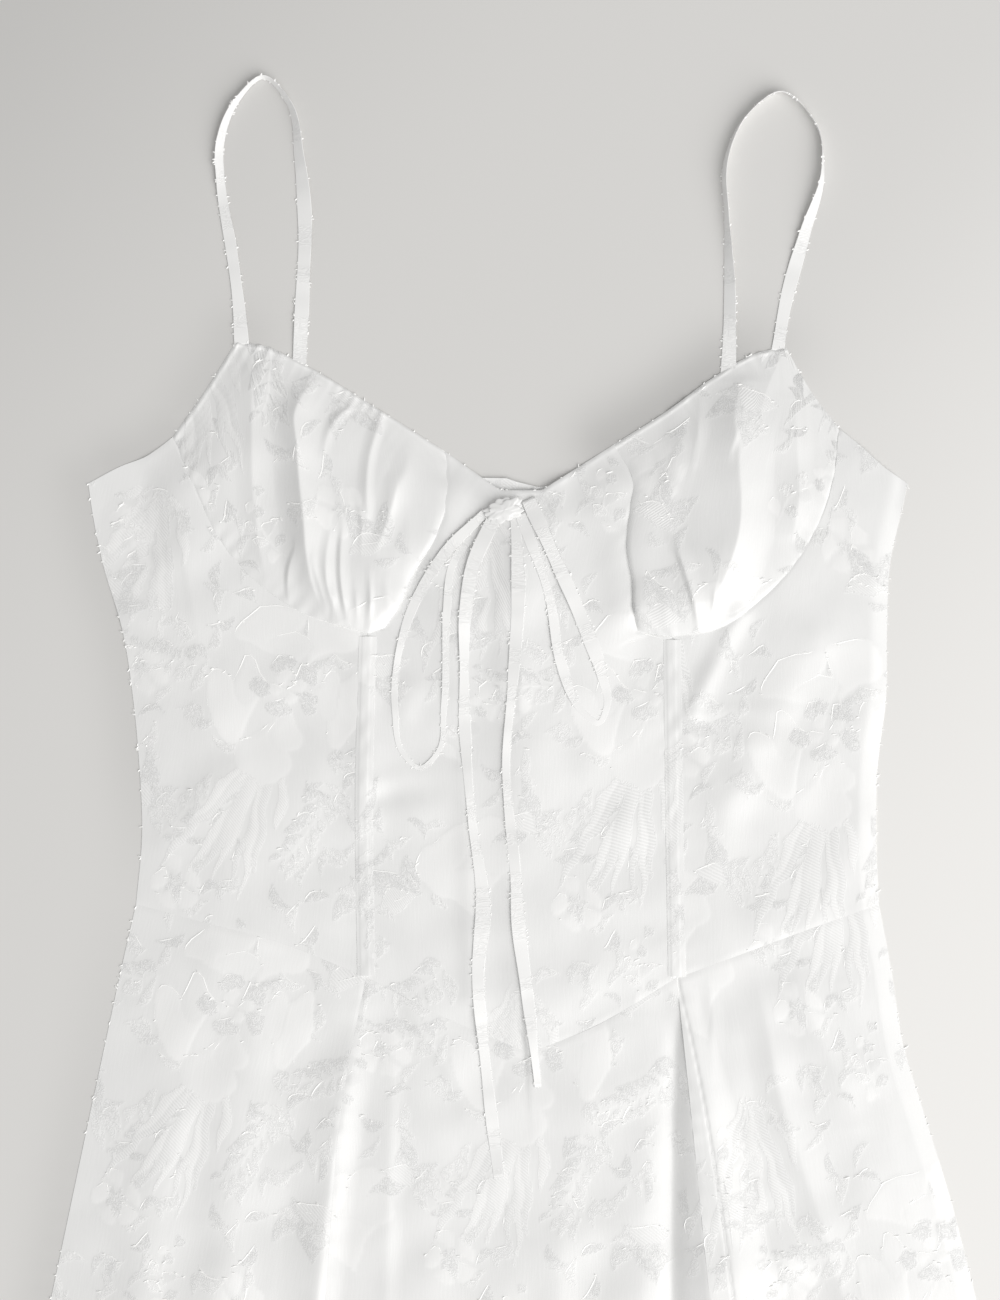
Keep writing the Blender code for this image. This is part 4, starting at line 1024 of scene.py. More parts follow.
def motifKinds():
    # petals are smooth and bright, leaves squiggled or hatched and darker
    peony = ring(5, 20, 13, 36, 39, 3.5, 1.9, 0.03, 1.0) + ring(4, 60, 9, 23, 25, 2.5, 1.9, 0.1, 0.55)
    peony += ring(5, 10, 4, 15, 13, 2, 1.7, 0.5, -0.5) + ring(4, 75, 1, 9, 8, 1.5, 1.7, 0.1, 0.9)
    bloom = ring(5, 18, 2, 12, 11, 0.8, 1.8, 0.1, 0.9) + ring(5, 0, 0, 5, 2.6, 0, 1.2, 0.5, -0.3, 0)
    petal = [Blade(0, 0, 0, 52, 47, 7, 1.5, 0.02, 1.0, 1, 0),
             Blade(30, 12, -62, 37, 30, -5, 1.6, 0.05, 0.7, 1, 0),
             Blade(38, -10, -84, 20, 11, 3, 1.4, 0.5, -0.4, 0, 0)]
    leaf = [Blade(0, 0, 0, 31, 13, 4, 1.0, 0.5, -0.45, 1, 1),
            Blade(2, 1, 52, 21, 10, -3, 1.0, 0.95, 0.4, 1, 1),
            Blade(2, -1, -47, 19, 9, 3, 1.0, 0.5, -0.3, 0, 1)]
    frond = [Blade(0, 0, 0, 52, 1.5, 7, 1, 0.1, 0.6, 0, 0)]
    for k in range(9):
        t = 0.08 + 0.1 * k
        lean = math.degrees(math.atan2(7 * 4 * (1 - 2 * t), 52))
        for side in (-1, 1):
            long = (15 - 1.0 * k) * (1 + 0.25 * math.sin(5.3 * k + side))
            turn = lean + side * (48 - 2.4 * k) + 9 * math.sin(4.1 * k)
            frond.append(Blade(*arc(52, 7, t), turn, long, 5.2 - 0.2 * k, side * 1.8, 1.1, 0.55,
                               -0.45 + 0.7 * (side > 0), k % 2, 0))
    fan = [
        Blade(5 * math.sin(2.1 * k), 4 * math.cos(1.3 * k), -24 + 3.5 * k, 60 + 18 * math.sin(1.7 * k),
              3.4 + 0.8 * (k % 3), 0.5 * (k - 7), 1.2, 1, 1.0 - 0.9 * (k % 2), 0, 0)
        for k in range(15)
    ]
    scroll = [
        Blade(4.2 * k - 22, 7 * math.sin(0.9 * k) + 3 * math.sin(2.7 * k), 150 * math.sin(1.9 * k), 13, 4.4,
              3.2 * (-1) ** k, 1.2, 0.5, 0.55 * math.sin(2.2 * k) - 0.1, k % 2, 0)
        for k in range(12)
    ]
    sprig = [Blade(0, 0, 0, 40, 1.4, 8, 1, 0.1, 0.7, 0, 0)] + [
        Blade(*arc(40, 8, 0.15 + 0.11 * k), 62 * (-1) ** k + 20 * math.sin(3 * k), 9 - 0.4 * k, 6, 1, 1.5,
              0.5 * (k % 3 > 0), 0.9 - 1.3 * (k % 2), 1, 0)
        for k in range(8)
    ]
    return {"peony": peony, "bloom": bloom, "petal": petal, "frond": frond, "fan": fan, "scroll": scroll,
            "sprig": sprig, "leaf": leaf}


# where the kinds stand in the repeat: x, y, turn, size; later ones lie over earlier ones
layout = (
    ("fan", 58, 40, 262, 1.0), ("frond", 24, 60, 205, 1.1), ("frond", 78, 100, 38, 1.1),
    ("scroll", 96, 62, 60, 1.1), ("scroll", 12, 116, 140, 1.1), ("leaf", 14, 92, 150, 1.1),
    ("scroll", 112, 96, 100, 1.0), ("petal", 44, 76, 96, 1.0), ("bloom", 90, 82, 10, 1.0),
    ("scroll", 84, 30, 10, 1.0), ("leaf", 74, 116, 95, 0.9), ("sprig", 30, 30, 300, 1.0),
    ("fan", 128, 150, 250, 0.95), ("frond", 158, 146, 246, 1.05), ("scroll", 168, 120, 80, 1.2),
    ("leaf", 176, 96, 300, 1.1), ("frond", 96, 196, 172, 1.0), ("scroll", 76, 160, 200, 1.2),
    ("scroll", 166, 196, 120, 1.1), ("peony", 134, 186, 30, 0.92), ("scroll", 88, 218, 30, 1.1),
    ("bloom", 60, 186, 50, 0.9), ("sprig", 36, 150, 60, 1.1), ("leaf", 40, 212, 60, 1.0),
    ("scroll", 18, 206, 30, 1.1), ("scroll", 148, 62, 60, 1.2), ("bloom", 158, 40, 15, 1.0),
    ("sprig", 128, 26, 95, 1.0), ("leaf", 176, 14, 120, 1.0), ("scroll", 10, 12, 200, 1.0),
)
kinds = motifKinds()
blades = [blade for kind, x, y, turn, size in layout for blade in placed(x, y, turn, size, kinds[kind])]
# per piece of cloth: where the repeat starts and how it is turned, because each is cut from another
# place; the cut of what shows, in metres and square metres: width, length, area; what it lies on; and
# its tufted edges
Piece = namedtuple("Piece", "place cut beneath tufted", defaults=((), [], ()))
bodiceBacks, skirtBacks = ["bodice_back_left", "bodice_back_right"], ["skirt_back_left", "skirt_back_right"]
pieceTable = {
    "bodice_front_centre": Piece((-52, -88, 4), (0.157, 0.305, 0.0383), bodiceBacks, ("top",)),
    "bodice_side_left": Piece((-268, -60, -7), (0.141, 0.271, 0.0236), bodiceBacks[:1], ("left",)),
    "bodice_side_right": Piece((54, -118, 9), (0.119, 0.276, 0.0207), bodiceBacks[1:], ("right",)),
    "cup_left": Piece((-214, 96, 24), (0.180, 0.150, 0.0150), bodiceBacks[:1], ("top", "left")),
    "cup_right": Piece((40, 60, -22), (0.180, 0.150, 0.0150), bodiceBacks[1:], ("top", "left")),
    "skirt_front_centre": Piece((-118, -262, 2), (0.330, 0.728, 0.1793), skirtBacks),
    "skirt_front_left": Piece((-300, -214, -9), (0.205, 0.750, 0.1188), skirtBacks[:1], ("left",)),
    "skirt_front_right": Piece((70, -150, 11), (0.200, 0.750, 0.1149), skirtBacks[1:], ("right",)),
    "bodice_back_left": Piece((0, 0, 0), (0.207, 0.214, 0.0401)),
    "bodice_back_right": Piece((60, 40, 0), (0.188, 0.213, 0.0370)),
    "skirt_back_left": Piece((20, 0, -8), (0.346, 0.765, 0.1986)),
    "skirt_back_right": Piece((90, 10, 8), (0.346, 0.765, 0.1968)),
    "boning_channel_left": Piece((-40, 20, 31)),
    "boning_channel_right": Piece((20, 66, -24)),
}


def wavered(x, y):
    # small swings, which keep the drawing from looking ruled
    aside = 0.8 * np.sin(y / 3.6 + 1.7 * np.sin(x / 7.3))
    return x + aside, y + 0.8 * np.sin(x / 3.2 + 1.9 * np.sin(y / 6.1))


def wrapped(dx, dy):
    # to the nearest copy of the repeat
    column = np.round(dx / repeat["wide"])
    dx = dx - column * repeat["wide"]
    dy = dy - column * repeat["tall"] / 2
    return dx, dy - np.round(dy / repeat["tall"]) * repeat["tall"]


def insideBlade(blade, x, y):
    # how far inside the blade's edge each point is, and its shares of the way along and aside
    c, s = math.cos(math.radians(blade.turn)), math.sin(math.radians(blade.turn))
    middleX, middleY = blade.x + c * blade.length / 2, blade.y + s * blade.length / 2
    along, aside = turnedBy(-math.radians(blade.turn), *wrapped(x - middleX, y - middleY))
    along = along / blade.length + 0.5
    within = np.clip(along, 0, 1)
    aside = aside - blade.bend * 4 * within * (1 - within)
    half = blade.width / 2 * np.sin(math.pi * within**blade.tip)
    edge = np.minimum(half - np.abs(aside), np.minimum(along, 1 - along) * blade.length)
    return edge, within, np.clip(aside / (half + 1e-6), -1, 1)


def chartPlace(name, x, y):
    left, low, turn = pieceTable[name].place
    return turnedBy(-math.radians(turn), x - left, y - low)


figure = {
    "edge": 0.7,  # width over which one weave turns into another
    "rise": 0.05,  # of the figure over the ground, and how much more it rises over a width
    "pillow": 0.08,
    "pillowWidth": 3.0,
    "outlineStep": 2.0,
    "lit": 0.25,  # floats are clipped along edges that look up or to the left by more than this
    "broken": 0.75,
    "covered": 0.3,  # how far inside a later blade a line ends
}


def jacquard(name, plan):
    # weave, tone and relief at each point of a panel
    x, y = wavered(*chartPlace(name, plan[..., 0], plan[..., 1]))
    weave, tone, relief = np.zeros(x.shape), np.zeros(x.shape), np.zeros(x.shape)
    for blade in blades:
        edge, along, aside = insideBlade(blade, x, y)
        cover = np.clip(edge / figure["edge"] + 0.5, 0, 1)
        shade = blade.tone * (0.7 + 0.35 * along) + 0.12 * aside
        weave += cover * (blade.weave - weave)
        tone += cover * (shade - tone)
        pillow = figure["pillow"] * np.clip(edge / figure["pillowWidth"], 0, 1)
        relief += cover * (figure["rise"] + pillow - relief)
    return weave, tone, relief


def bladeLines():
    # outlines and veins of the chart: rows of points, and which of them show
    lines = []
    for number, blade in enumerate(blades):
        share = np.linspace(0.06, 1, max(5, int(blade.length / figure["outlineStep"])))
        half = blade.width / 2 * np.sin(math.pi * share**blade.tip)
        bend = blade.bend * 4 * share * (1 - share)
        sets = []
        if blade.outline:
            there = np.stack([share * blade.length, bend + half], axis=1)
            back = np.stack([share * blade.length, bend - half], axis=1)[::-1][1:]
            sets.append((np.concatenate([there, back]), True))
        if blade.vein:
            keep = (share > 0.1) & (share < 0.8)
            sets.append((np.stack([share[keep] * blade.length, bend[keep]], axis=1), False))
        c, s = math.cos(math.radians(blade.turn)), math.sin(math.radians(blade.turn))
        for points, outer in sets:
            x = blade.x + c * points[:, 0] - s * points[:, 1]
            y = blade.y + s * points[:, 0] + c * points[:, 1]
            looks = 0.9 * np.gradient(-x) + 0.45 * np.gradient(-y)
            breaks = np.sin(x / 2.3 + 2.2 * np.sin(y / 3.7)) + 0.8 * np.sin(y / 1.9 + x / 5.3)
            hidden = breaks > figure["broken"]
            if outer:
                hidden |= -looks < figure["lit"]
            for later in blades[number + 1:]:
                hidden |= insideBlade(later, x, y)[0] > figure["covered"]
            lines.append((2 * np.stack([x, y], axis=1) - np.stack(wavered(x, y), axis=1), ~hidden))
    return lines


def repeatStarts(key, grid):
    # where each copy of the repeat starts, so that the copies cover the panel
    x, y = chartPlace(key, grid[..., 0], grid[..., 1])
    starts = []
    for i in range(int(x.min() // repeat["wide"]) - 1, int(x.max() // repeat["wide"]) + 2):
        rise = i * repeat["tall"] / 2
        first, last = [int((end - rise) // repeat["tall"]) for end in (y.min(), y.max())]
        starts += [(i * repeat["wide"], rise + j * repeat["tall"]) for j in range(first - 1, last + 2)]
    return np.array(starts)


def panelLines(key, grid, tree, lines):
    # the chart's lines as they lie on one panel: places, where each row of points starts, and heights
    starts = repeatStarts(key, grid)
    left, low, turn = pieceTable[key].place
    points = np.concatenate([line for line, shown in lines])
    shown = np.concatenate([shown for line, shown in lines])
    first = np.concatenate([np.arange(len(line)) == 0 for line, shown in lines])
    places = (starts[:, None] + points[None]).reshape(-1, 2)
    turned = turnedBy(math.radians(turn), places[:, 0], places[:, 1])
    places = np.stack(turned, axis=1) + np.array([left, low])
    shown, first = np.tile(shown, len(starts)), np.tile(first, len(starts))
    lowest, highest = grid[..., :2].min(axis=(0, 1)), grid[..., :2].max(axis=(0, 1))
    near = np.all((places > lowest) & (places < highest), axis=1) & shown
    height = np.full(len(places), np.nan)
    height[near] = heightsOn([tree], places[near])
    return places, first, height


cord = {"half": 0.48, "high": 0.19, "sunk": 0.06, "lean": 0.38, "endShare": 0.25, "steepest": 2.5}
leanWay = np.array([-0.77, 0.64])  # up and to the left


def addLines(key, grid, tree, lines, surface):
    # thin raised cords of three sides; they end where the cloth does or where another petal covers them
    places, first, height = panelLines(key, grid, tree, lines)
    good = ~np.isnan(height)
    level = np.abs(np.diff(height, prepend=0)[1:]) < cord["steepest"]
    joined = good[1:] & good[:-1] & ~first[1:] & level
    before, after = np.concatenate([[False], joined]), np.concatenate([joined, [False]])
    step = np.diff(places, axis=0) * joined[:, None]
    run = np.concatenate([[[0, 0]], step]) + np.concatenate([step, [[0, 0]]])
    used = before | after
    run = run[used] / (np.linalg.norm(run[used], axis=1)[:, None] + 1e-9)
    share = np.where(before & after, 1, cord["endShare"])[used]  # the ends are thin
    aside = np.stack([-run[:, 1], run[:, 0]], axis=1) * (cord["half"] * share)[:, None]
    middle, z = places[used], height[used]
    ridge = middle + (cord["lean"] * share)[:, None] * leanWay
    rings = np.stack([
        withHeight(middle + aside, z - cord["sunk"]),
        withHeight(middle - aside, z - cord["sunk"]),
        withHeight(ridge, z + cord["high"] * share),
    ], axis=1)
    number = 3 * (np.cumsum(used) - 1)
    here, following = number[:-1][joined], number[1:][joined]
    sides = [
        np.stack([here + k, here + (k + 1) % 3, following + (k + 1) % 3, following + k], axis=1)
        for k in range(3)
    ]
    starting, ending = number[used & ~before & after], number[used & before & ~after]
    caps = np.concatenate([np.stack([starting + 2, starting + 1, starting], axis=1),
                           np.stack([ending, ending + 1, ending + 2], axis=1)])
    faceSets = [np.concatenate(sides[1:]), sides[0], caps]
    return addMesh(key + "_lines", rings.reshape(-1, 3), faceSets, surface, smoothSets=0), places, height


# Clipped threads: how many stand on a metre of edge, their lengths, how high they rise, and the draw's seed
Tuft = namedtuple("Tuft", "perMetre shortest longest lift seed")
tufts = {
    "band": Tuft(150, 0.6, 1.8, 0.1, 8),
    "edge": Tuft(120, 0.8, 2.2, 0.08, 6),
    "figure": Tuft(None, 0.8, 3.4, 0.16, 5),
}
# of the figure's outlines: the share that carries threads, how much more in bunches, and how they scatter
figureTufts = {"share": 0.15, "bunched": 0.5, "bunchLevel": 0.6, "scatter": 0.4, "swing": 0.35}


def threads(places, directions, lengths, lift, seed):
    # short clipped threads: bent, three-sided, four rings each
    draw = np.random.default_rng(seed)
    count = len(places)
    t = np.linspace(0, 1, 4)[None, :]
    bend = draw.uniform(-0.35, 0.35, (count, 1)) * t**2
    angle = directions[:, None] + bend
    reach = lengths[:, None] * (t - 0.25)
    rise = lift * draw.uniform(0.5, 1.4, (count, 1)) * np.sin(math.pi * (0.12 + 0.7 * t))
    along = np.stack([reach * np.cos(angle), reach * np.sin(angle), rise], axis=2)
    middle = places[:, None] + along
    thick = draw.uniform(0.26, 0.5, (count, 1)) * np.array([0.3, 1, 0.85, 0.25])
    aside = np.stack([-np.sin(angle), np.cos(angle), 0 * angle], axis=2) * thick[..., None]
    up = np.stack([0 * angle, 0 * angle, thick], axis=2)
    ridge = 0.65 * up + np.stack([thick, thick, 0 * thick], axis=2) * np.append(0.6 * leanWay, 0)
    rings = np.stack([middle + aside - 0.4 * up, middle - aside - 0.4 * up, middle + ridge], axis=2)
    base = 12 * np.arange(count)[:, None]
    sides = []
    for k in (1, 2, 0):
        for step in (0, 3, 6):
            a, b = step + k, step + (k + 1) % 3
            sides.append(base + np.array([[a, b, b + 3, a + 3]]))
    caps = np.concatenate([base + np.array([[2, 1, 0]]), base + np.array([[9, 10, 11]])])
    return rings.reshape(-1, 3), np.concatenate(sides[:6]), np.concatenate(sides[6:]), caps


def addThreads(name, bundles, surface):
    # bundles of threads as one mesh
    first = np.cumsum([0] + [len(bundle[0]) for bundle in bundles])
    faceSets = [
        np.concatenate([bundle[k] + start for bundle, start in zip(bundles, first)])
        for k in (1, 2, 3)
    ]
    points = np.concatenate([bundle[0] for bundle in bundles])
    return addMesh(name, points, faceSets, surface, smoothSets=0)


# Bands: straps, and the tie's loops and tails, by x, y, roll, lift and width. Roll stands a band on its edge,
# lift is its clearance, and the width is a share, because a band creases along itself where it is narrow.

band = {
    "strapWidth": 7.5,
    "tieWidth": 7.0,
    "thick": 0.36,
    "steps": 170,
    "unevenWidth": 0.12,
    "unevenTurn": 3.0,
    "turnedOver": 140.0,  # a roll above this lies face down, and is made flatter by a share
    "flatter": 0.4,
    "settled": 0.26,  # how far a band sinks into the cloth
    # a flat section with blunt, narrow edges that curl up a little
    "across": (1, 0.985, 0.95, 0.91, 0, -0.91, -0.95, -0.985, -1, -0.985, -0.95, -0.91, 0, 0.91, 0.95, 0.985),
    "over": (0, 0.6, 0.95, 1, 1, 1, 0.95, 0.6, 0, -0.6, -0.95, -1, -1, -1, -0.95, -0.6),
    "curl": 0.05,
}
stops = {
    "strap_left": (
        (-136.0, 279.5, -2, 0.1, 0.9), (-137.5, 300, -4, 0.1, 0.85), (-141, 327, -5, 0.1, 0.8),
        (-146.5, 361.5, 12, 0.1, 0.62), (-147, 380, 34, 0.1, 0.6), (-138.5, 402.5, 62, 0.1, 0.6),
        (-125, 414.5, 72, 0.1, 0.6), (-112.5, 402, 66, 0.1, 0.7), (-107, 374, 32, 0, 0.85),
        (-104.3, 342, 8, 0, 0.9), (-105.5, 307.5, 0, 0, 0.95), (-107.5, 262, 0, 0, 1),
        (-108.5, 212.9, 0, 0, 1),
    ),
    "strap_right": (
        (132.6, 276.8, 0, 0.1, 0.9), (136.5, 300.5, 4, 0.1, 0.9), (146.5, 337, 14, 0.1, 0.8),
        (155, 366.5, 66, 0.1, 0.7), (152, 390, 84, 0.1, 0.75), (134, 407, 86, 0.1, 0.75),
        (116.5, 394.5, 84, 0.1, 0.75), (106.5, 372, 75, 0.1, 0.8), (107, 344.5, 66, 0.1, 0.8),
        (108.5, 312, 35, 0.1, 0.8), (108.5, 284, 12, 0, 0.9), (107.5, 255, 0, 0, 1),
        (107, 212.9, 0, 0, 1),
    ),
    "tie_loop_left": (
        (-13.5, 196.5, 176, 1.2, 0.7), (-33, 177, 174, 1.0, 0.75), (-48, 153.5, 168, 0.1, 0.72),
        (-58, 121.5, 164, 0.05, 0.5), (-59, 98, 170, 0.05, 0.42), (-54.5, 75, 176, 0.05, 0.36),
        (-46.5, 68.5, 182, 0.05, 0.34), (-38.5, 75, 190, 0.05, 0.36), (-34.5, 100, 200, 0.05, 0.44),
        (-33, 147.5, 192, 0.05, 0.55), (-30.5, 169.5, 188, 0.05, 0.6), (-13.5, 192.5, 184, 0.05, 0.8),
    ),
    "tie_loop_right": (
        (7.5, 203, 178, 0.5, 0.95), (21.5, 172, 176, 0.6, 1), (33, 146, 174, 0.1, 1),
        (44.5, 114.5, 170, 0.05, 0.8), (47, 100, 176, 0.05, 0.5), (42.5, 91, 180, 0.05, 0.4),
        (36, 95.5, 186, 0.05, 0.5), (23.5, 122.5, 192, 0.05, 0.72), (18.5, 152.5, 188, 0.05, 0.7),
        (3.5, 196, 184, 0.05, 0.8),
    ),
    "tie_tail_left": (
        (-9.5, 193.5, 176, 1.8, 0.9), (-20.5, 168, 174, 1.2, 1.1), (-23.5, 147.5, 170, 0.1, 1),
        (-24.5, 115, 160, 0.05, 0.65), (-24, 87.5, 172, 0.05, 0.8), (-20.5, 42.5, 174, 0.05, 0.62),
        (-15, 0, 172, 0.05, 1), (-17.5, -35, 164, 0.05, 0.95), (-14.5, -72.5, 170, 0.05, 0.8),
        (-7, -136.5, 175, 0.05, 0.85),
    ),
    "tie_tail_right": (
        (1.0, 198, 176, 0.05, 0.8), (2.5, 152.5, 175, 0.05, 0.95), (0.5, 120, 168, 0.05, 0.8),
        (-3.5, 68, 155, 0.05, 0.55), (1, 17.5, 172, 0.05, 0.85), (2.5, -7.5, 170, 0.05, 1),
        (7.5, -47.5, 155, 0.05, 0.8), (12.5, -91, 160, 0.05, 0.5),
    ),
}
knotShape = {"x": -4.6, "y": 197.2, "long": 10.2, "wide": 5.2, "high": 1.35, "turn": 19.0, "pinch": 0.2,
             "lift": 0.3, "tone": 0.15, "turns": 72, "rings": 40}
channelShape = {"rows": 160, "columns": 16, "half": 4.4, "lift": 0.12, "fill": 0.30, "thick": 0.6,
                "stitches": (-3.3, 2.4, 3.5), "stitchDepth": 0.2, "stitchWidth": 0.5}


def evened(row):
    # the mean of nine neighbours
    beside = np.pad(row, 4, mode="edge")
    return np.mean([beside[k:k + len(row)] for k in range(9)], axis=0)


def bandRings(name, width, trees):
    # rounded flat rings along the band's route, over whatever lies under it
    share = even(band["steps"])
    route = smoothPath(stops[name], share)
    plan, lift = route[:, :2], route[:, 3]
    seed = sum(map(ord, name))
    sway = np.sin(share * 19 + seed) + 0.6 * np.sin(share * 43 + 2 * seed)
    flatter = 180 - (180 - route[:, 2]) * band["flatter"]
    roll = np.where(route[:, 2] > band["turnedOver"], flatter, route[:, 2])
    roll = np.radians(roll + band["unevenTurn"] * sway)
    uneven = 1 + band["unevenWidth"] * np.sin(share * 31 + seed) * np.sin(share * 11 + 1)
    width, thick = width * route[:, 4] * uneven, band["thick"]
    forward = unitSteps(np.gradient(plan, axis=0))
    aside = np.stack([-forward[:, 1], forward[:, 0]], axis=1)
    low = np.abs(np.sin(roll) * (width / 2)) + np.abs(np.cos(roll) * thick / 2)
    floor = np.zeros(len(plan))
    if trees:
        # the band turns with the cloth's slope across it
        half = np.abs(np.cos(roll)) * width / 2 + np.abs(np.sin(roll)) * thick / 2
        steps = np.linspace(-1, 1, 7)
        spots = np.concatenate([plan + half[:, None] * aside * k for k in steps])
        under = heightsOn(trees, spots).reshape(7, -1)
        under = np.where(np.isnan(under), np.nanmin(under), under)
        roll = roll + np.arctan(evened((under[-1] - under[0]) / (2 * half)))
        under = np.max(under - steps[:, None] * (half * np.tan(roll))[None], axis=0)
        low = thick / 2
        floor = np.maximum(evened(under), under) - band["settled"]
    flat, stood = np.cos(roll)[:, None], np.sin(roll)[:, None]
    wideStep = np.concatenate([aside * flat, stood], axis=1) * (width / 2)[:, None]
    thickStep = np.concatenate([-aside * stood, flat], axis=1) * thick / 2
    middle = withHeight(plan, floor + lift + low)
    across, over = np.array(band["across"]), np.array(band["over"])
    over = over[None] + band["curl"] / (thick / 2) * (across[None] ** 4 - 0.3) * np.sign(flat)
    rings = middle[:, None] + wideStep[:, None] * across[None, :, None] + thickStep[:, None] * over[..., None]
    return middle, rings


def addBand(name, width, surface, trees):
    # the rings joined into a closed tube; its UV runs round them and along the route
    middle, rings = bandRings(name, width, trees)
    sides, first, last = tubeFaces(*rings.shape[:2])
    length = lengthsAlong(middle)
    around = np.linspace(0, 2 * width, rings.shape[1], endpoint=False)
    uv = np.stack(np.broadcast_arrays(around[None], length[:, None]), axis=2).reshape(-1, 2)
    # patches of the figured weave turn up along it
    turned = np.sin(length / 5.3 + 2.1 * np.sin(length / 13.0) + len(name))
    # painted highlight: the bands' tone is lighter than the panels' ground, as if they caught more light, and
    # swings along them like sheen
    values = {"weave": np.repeat(0.5 * (turned > 0.25), rings.shape[1]),
              "tone": np.repeat(0.85 + 0.3 * ripple("paintedRibbonSheen", length), rings.shape[1])}
    made = addMesh(name + "_ribbon", rings.reshape(-1, 3), [sides, first, last], surface, uv, values)
    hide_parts(name)
    return made, middle, rings


def addChannel(side, surface):
    # a strip stitched over the princess seam, with rows of stitching near its edges
    shape = channelShape
    route = smoothPath(seams["princess" + side], np.linspace(0.004, 0.99, shape["rows"] + 1))
    aside = np.linspace(-shape["half"], shape["half"], shape["columns"] + 1)
    y = np.repeat(route[:, 1:2], len(aside), axis=1)
    plan = np.stack([route[:, None, 0] + aside[None], y], axis=2)
    height = frontHeight(plan[..., 0], plan[..., 1]) + shape["lift"]
    along = route[:, 1:2]
    sag = 0.16 * ripple("channelSag", along) + 0.1 * np.sin(along / 1.9)
    height += shape["fill"] * (1 - (aside / shape["half"]) ** 6)[None] + sag * bell(aside, 2.2)[None]
    for place in shape["stitches"]:
        height -= shape["stitchDepth"] * bell(aside - place, shape["stitchWidth"])[None]
    grid = withHeight(plan, height)
    node = "boning_channel_" + side.lower()
    weave, tone, relief = jacquard(node, grid)
    values = {"weave": weave, "tone": tone}
    made = addShell("channel_" + side.lower(), grid, shape["thick"], surface, values)
    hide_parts(node)
    return made


def addKnot(surface, trees):
    # the bow's knot: a pillow of wrapped band with folds along it and a pinch where the loops leave it
    shape, turns, rings = knotShape, knotShape["turns"], knotShape["rings"]
    spots = [(shape["x"] + dx, shape["y"] + dy) for dx in (-8, 0, 8) for dy in (-4, 0, 4)]
    found = heightsOn(trees, spots)
    base = np.nanmax(np.where(np.isnan(found), 0.0, found)) + shape["lift"]
    tilt = np.linspace(0, math.pi, rings + 1)[1:-1, None]
    turn = np.linspace(0, 2 * math.pi, turns, endpoint=False)[None]
    pinch = 1 - shape["pinch"] * np.cos(2 * turn) ** 2
    creases = 1 + 0.17 * np.sin(5 * turn + 5.5 * np.cos(tilt)) * np.sin(tilt)
    creases = creases + 0.08 * np.sin(9 * turn + 7 * tilt)
    px = shape["long"] * np.sin(tilt) * np.cos(turn) * pinch * creases
    py = shape["wide"] * np.sin(tilt) * np.sin(turn) * creases
    pz = base + shape["high"] * (1 - np.cos(tilt) * (1 + 0.05 * np.sin(3 * turn))) + 0 * turn
    dx, dy = turnedBy(math.radians(shape["turn"]), px, py)
    sideRings = np.stack([shape["x"] + dx, shape["y"] + dy, np.broadcast_to(pz, dx.shape)], axis=2)
    poles = [(shape["x"], shape["y"], base + rise) for rise in (0, 2 * shape["high"])]
    points = np.concatenate([sideRings.reshape(-1, 3), poles])
    sides, first, last = tubeFaces(rings - 1, turns)
    low, high = len(points) - 2, len(points) - 1
    first = first[0, ::-1]
    caps = np.concatenate([
        np.stack([np.full(turns, low), np.roll(first, -1), first], axis=1),
        np.stack([np.full(turns, high), last[0], np.roll(last[0], -1)], axis=1),
    ])
    tone = np.full(len(points), shape["tone"])
    made = addMesh("tie_wrap", points, [sides, caps], surface, points[:, :2], {"tone": tone})
    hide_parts("tie_knot")
    return made


# Materials

cloth = {
    "groundColour": (0.888, 0.890, 0.886, 1.0),
    "deepColour": (0.745, 0.748, 0.747, 1.0),
    "brightColour": (0.97, 0.97, 0.965, 1.0),
    "smoothRoughness": 0.36,
    "hatchedRoughness": 0.56,
    "sheen": 0.12,
    "twillPeriod": 1.35,  # of the hatching, in millimetres
    "twillTurn": -52.0,
    "twillDepth": 0.00008,
    "slubDepth": 0.00005,
    "toneShare": 0.75,
    "drawingShare": 0.95,
    "paintedSheenShare": 0.6,
}
floss = {"Base Color": (1.0, 1.0, 0.99, 1.0), "Roughness": 0.35, "Specular IOR Level": 0.8,
         "Sheen Weight": 0.7}


def combine(tree, kind, a, b):
    # one step of arithmetic in a material
    return addNode(tree, "Math", {"operation": kind}, i0=a, i1=b).outputs[0]


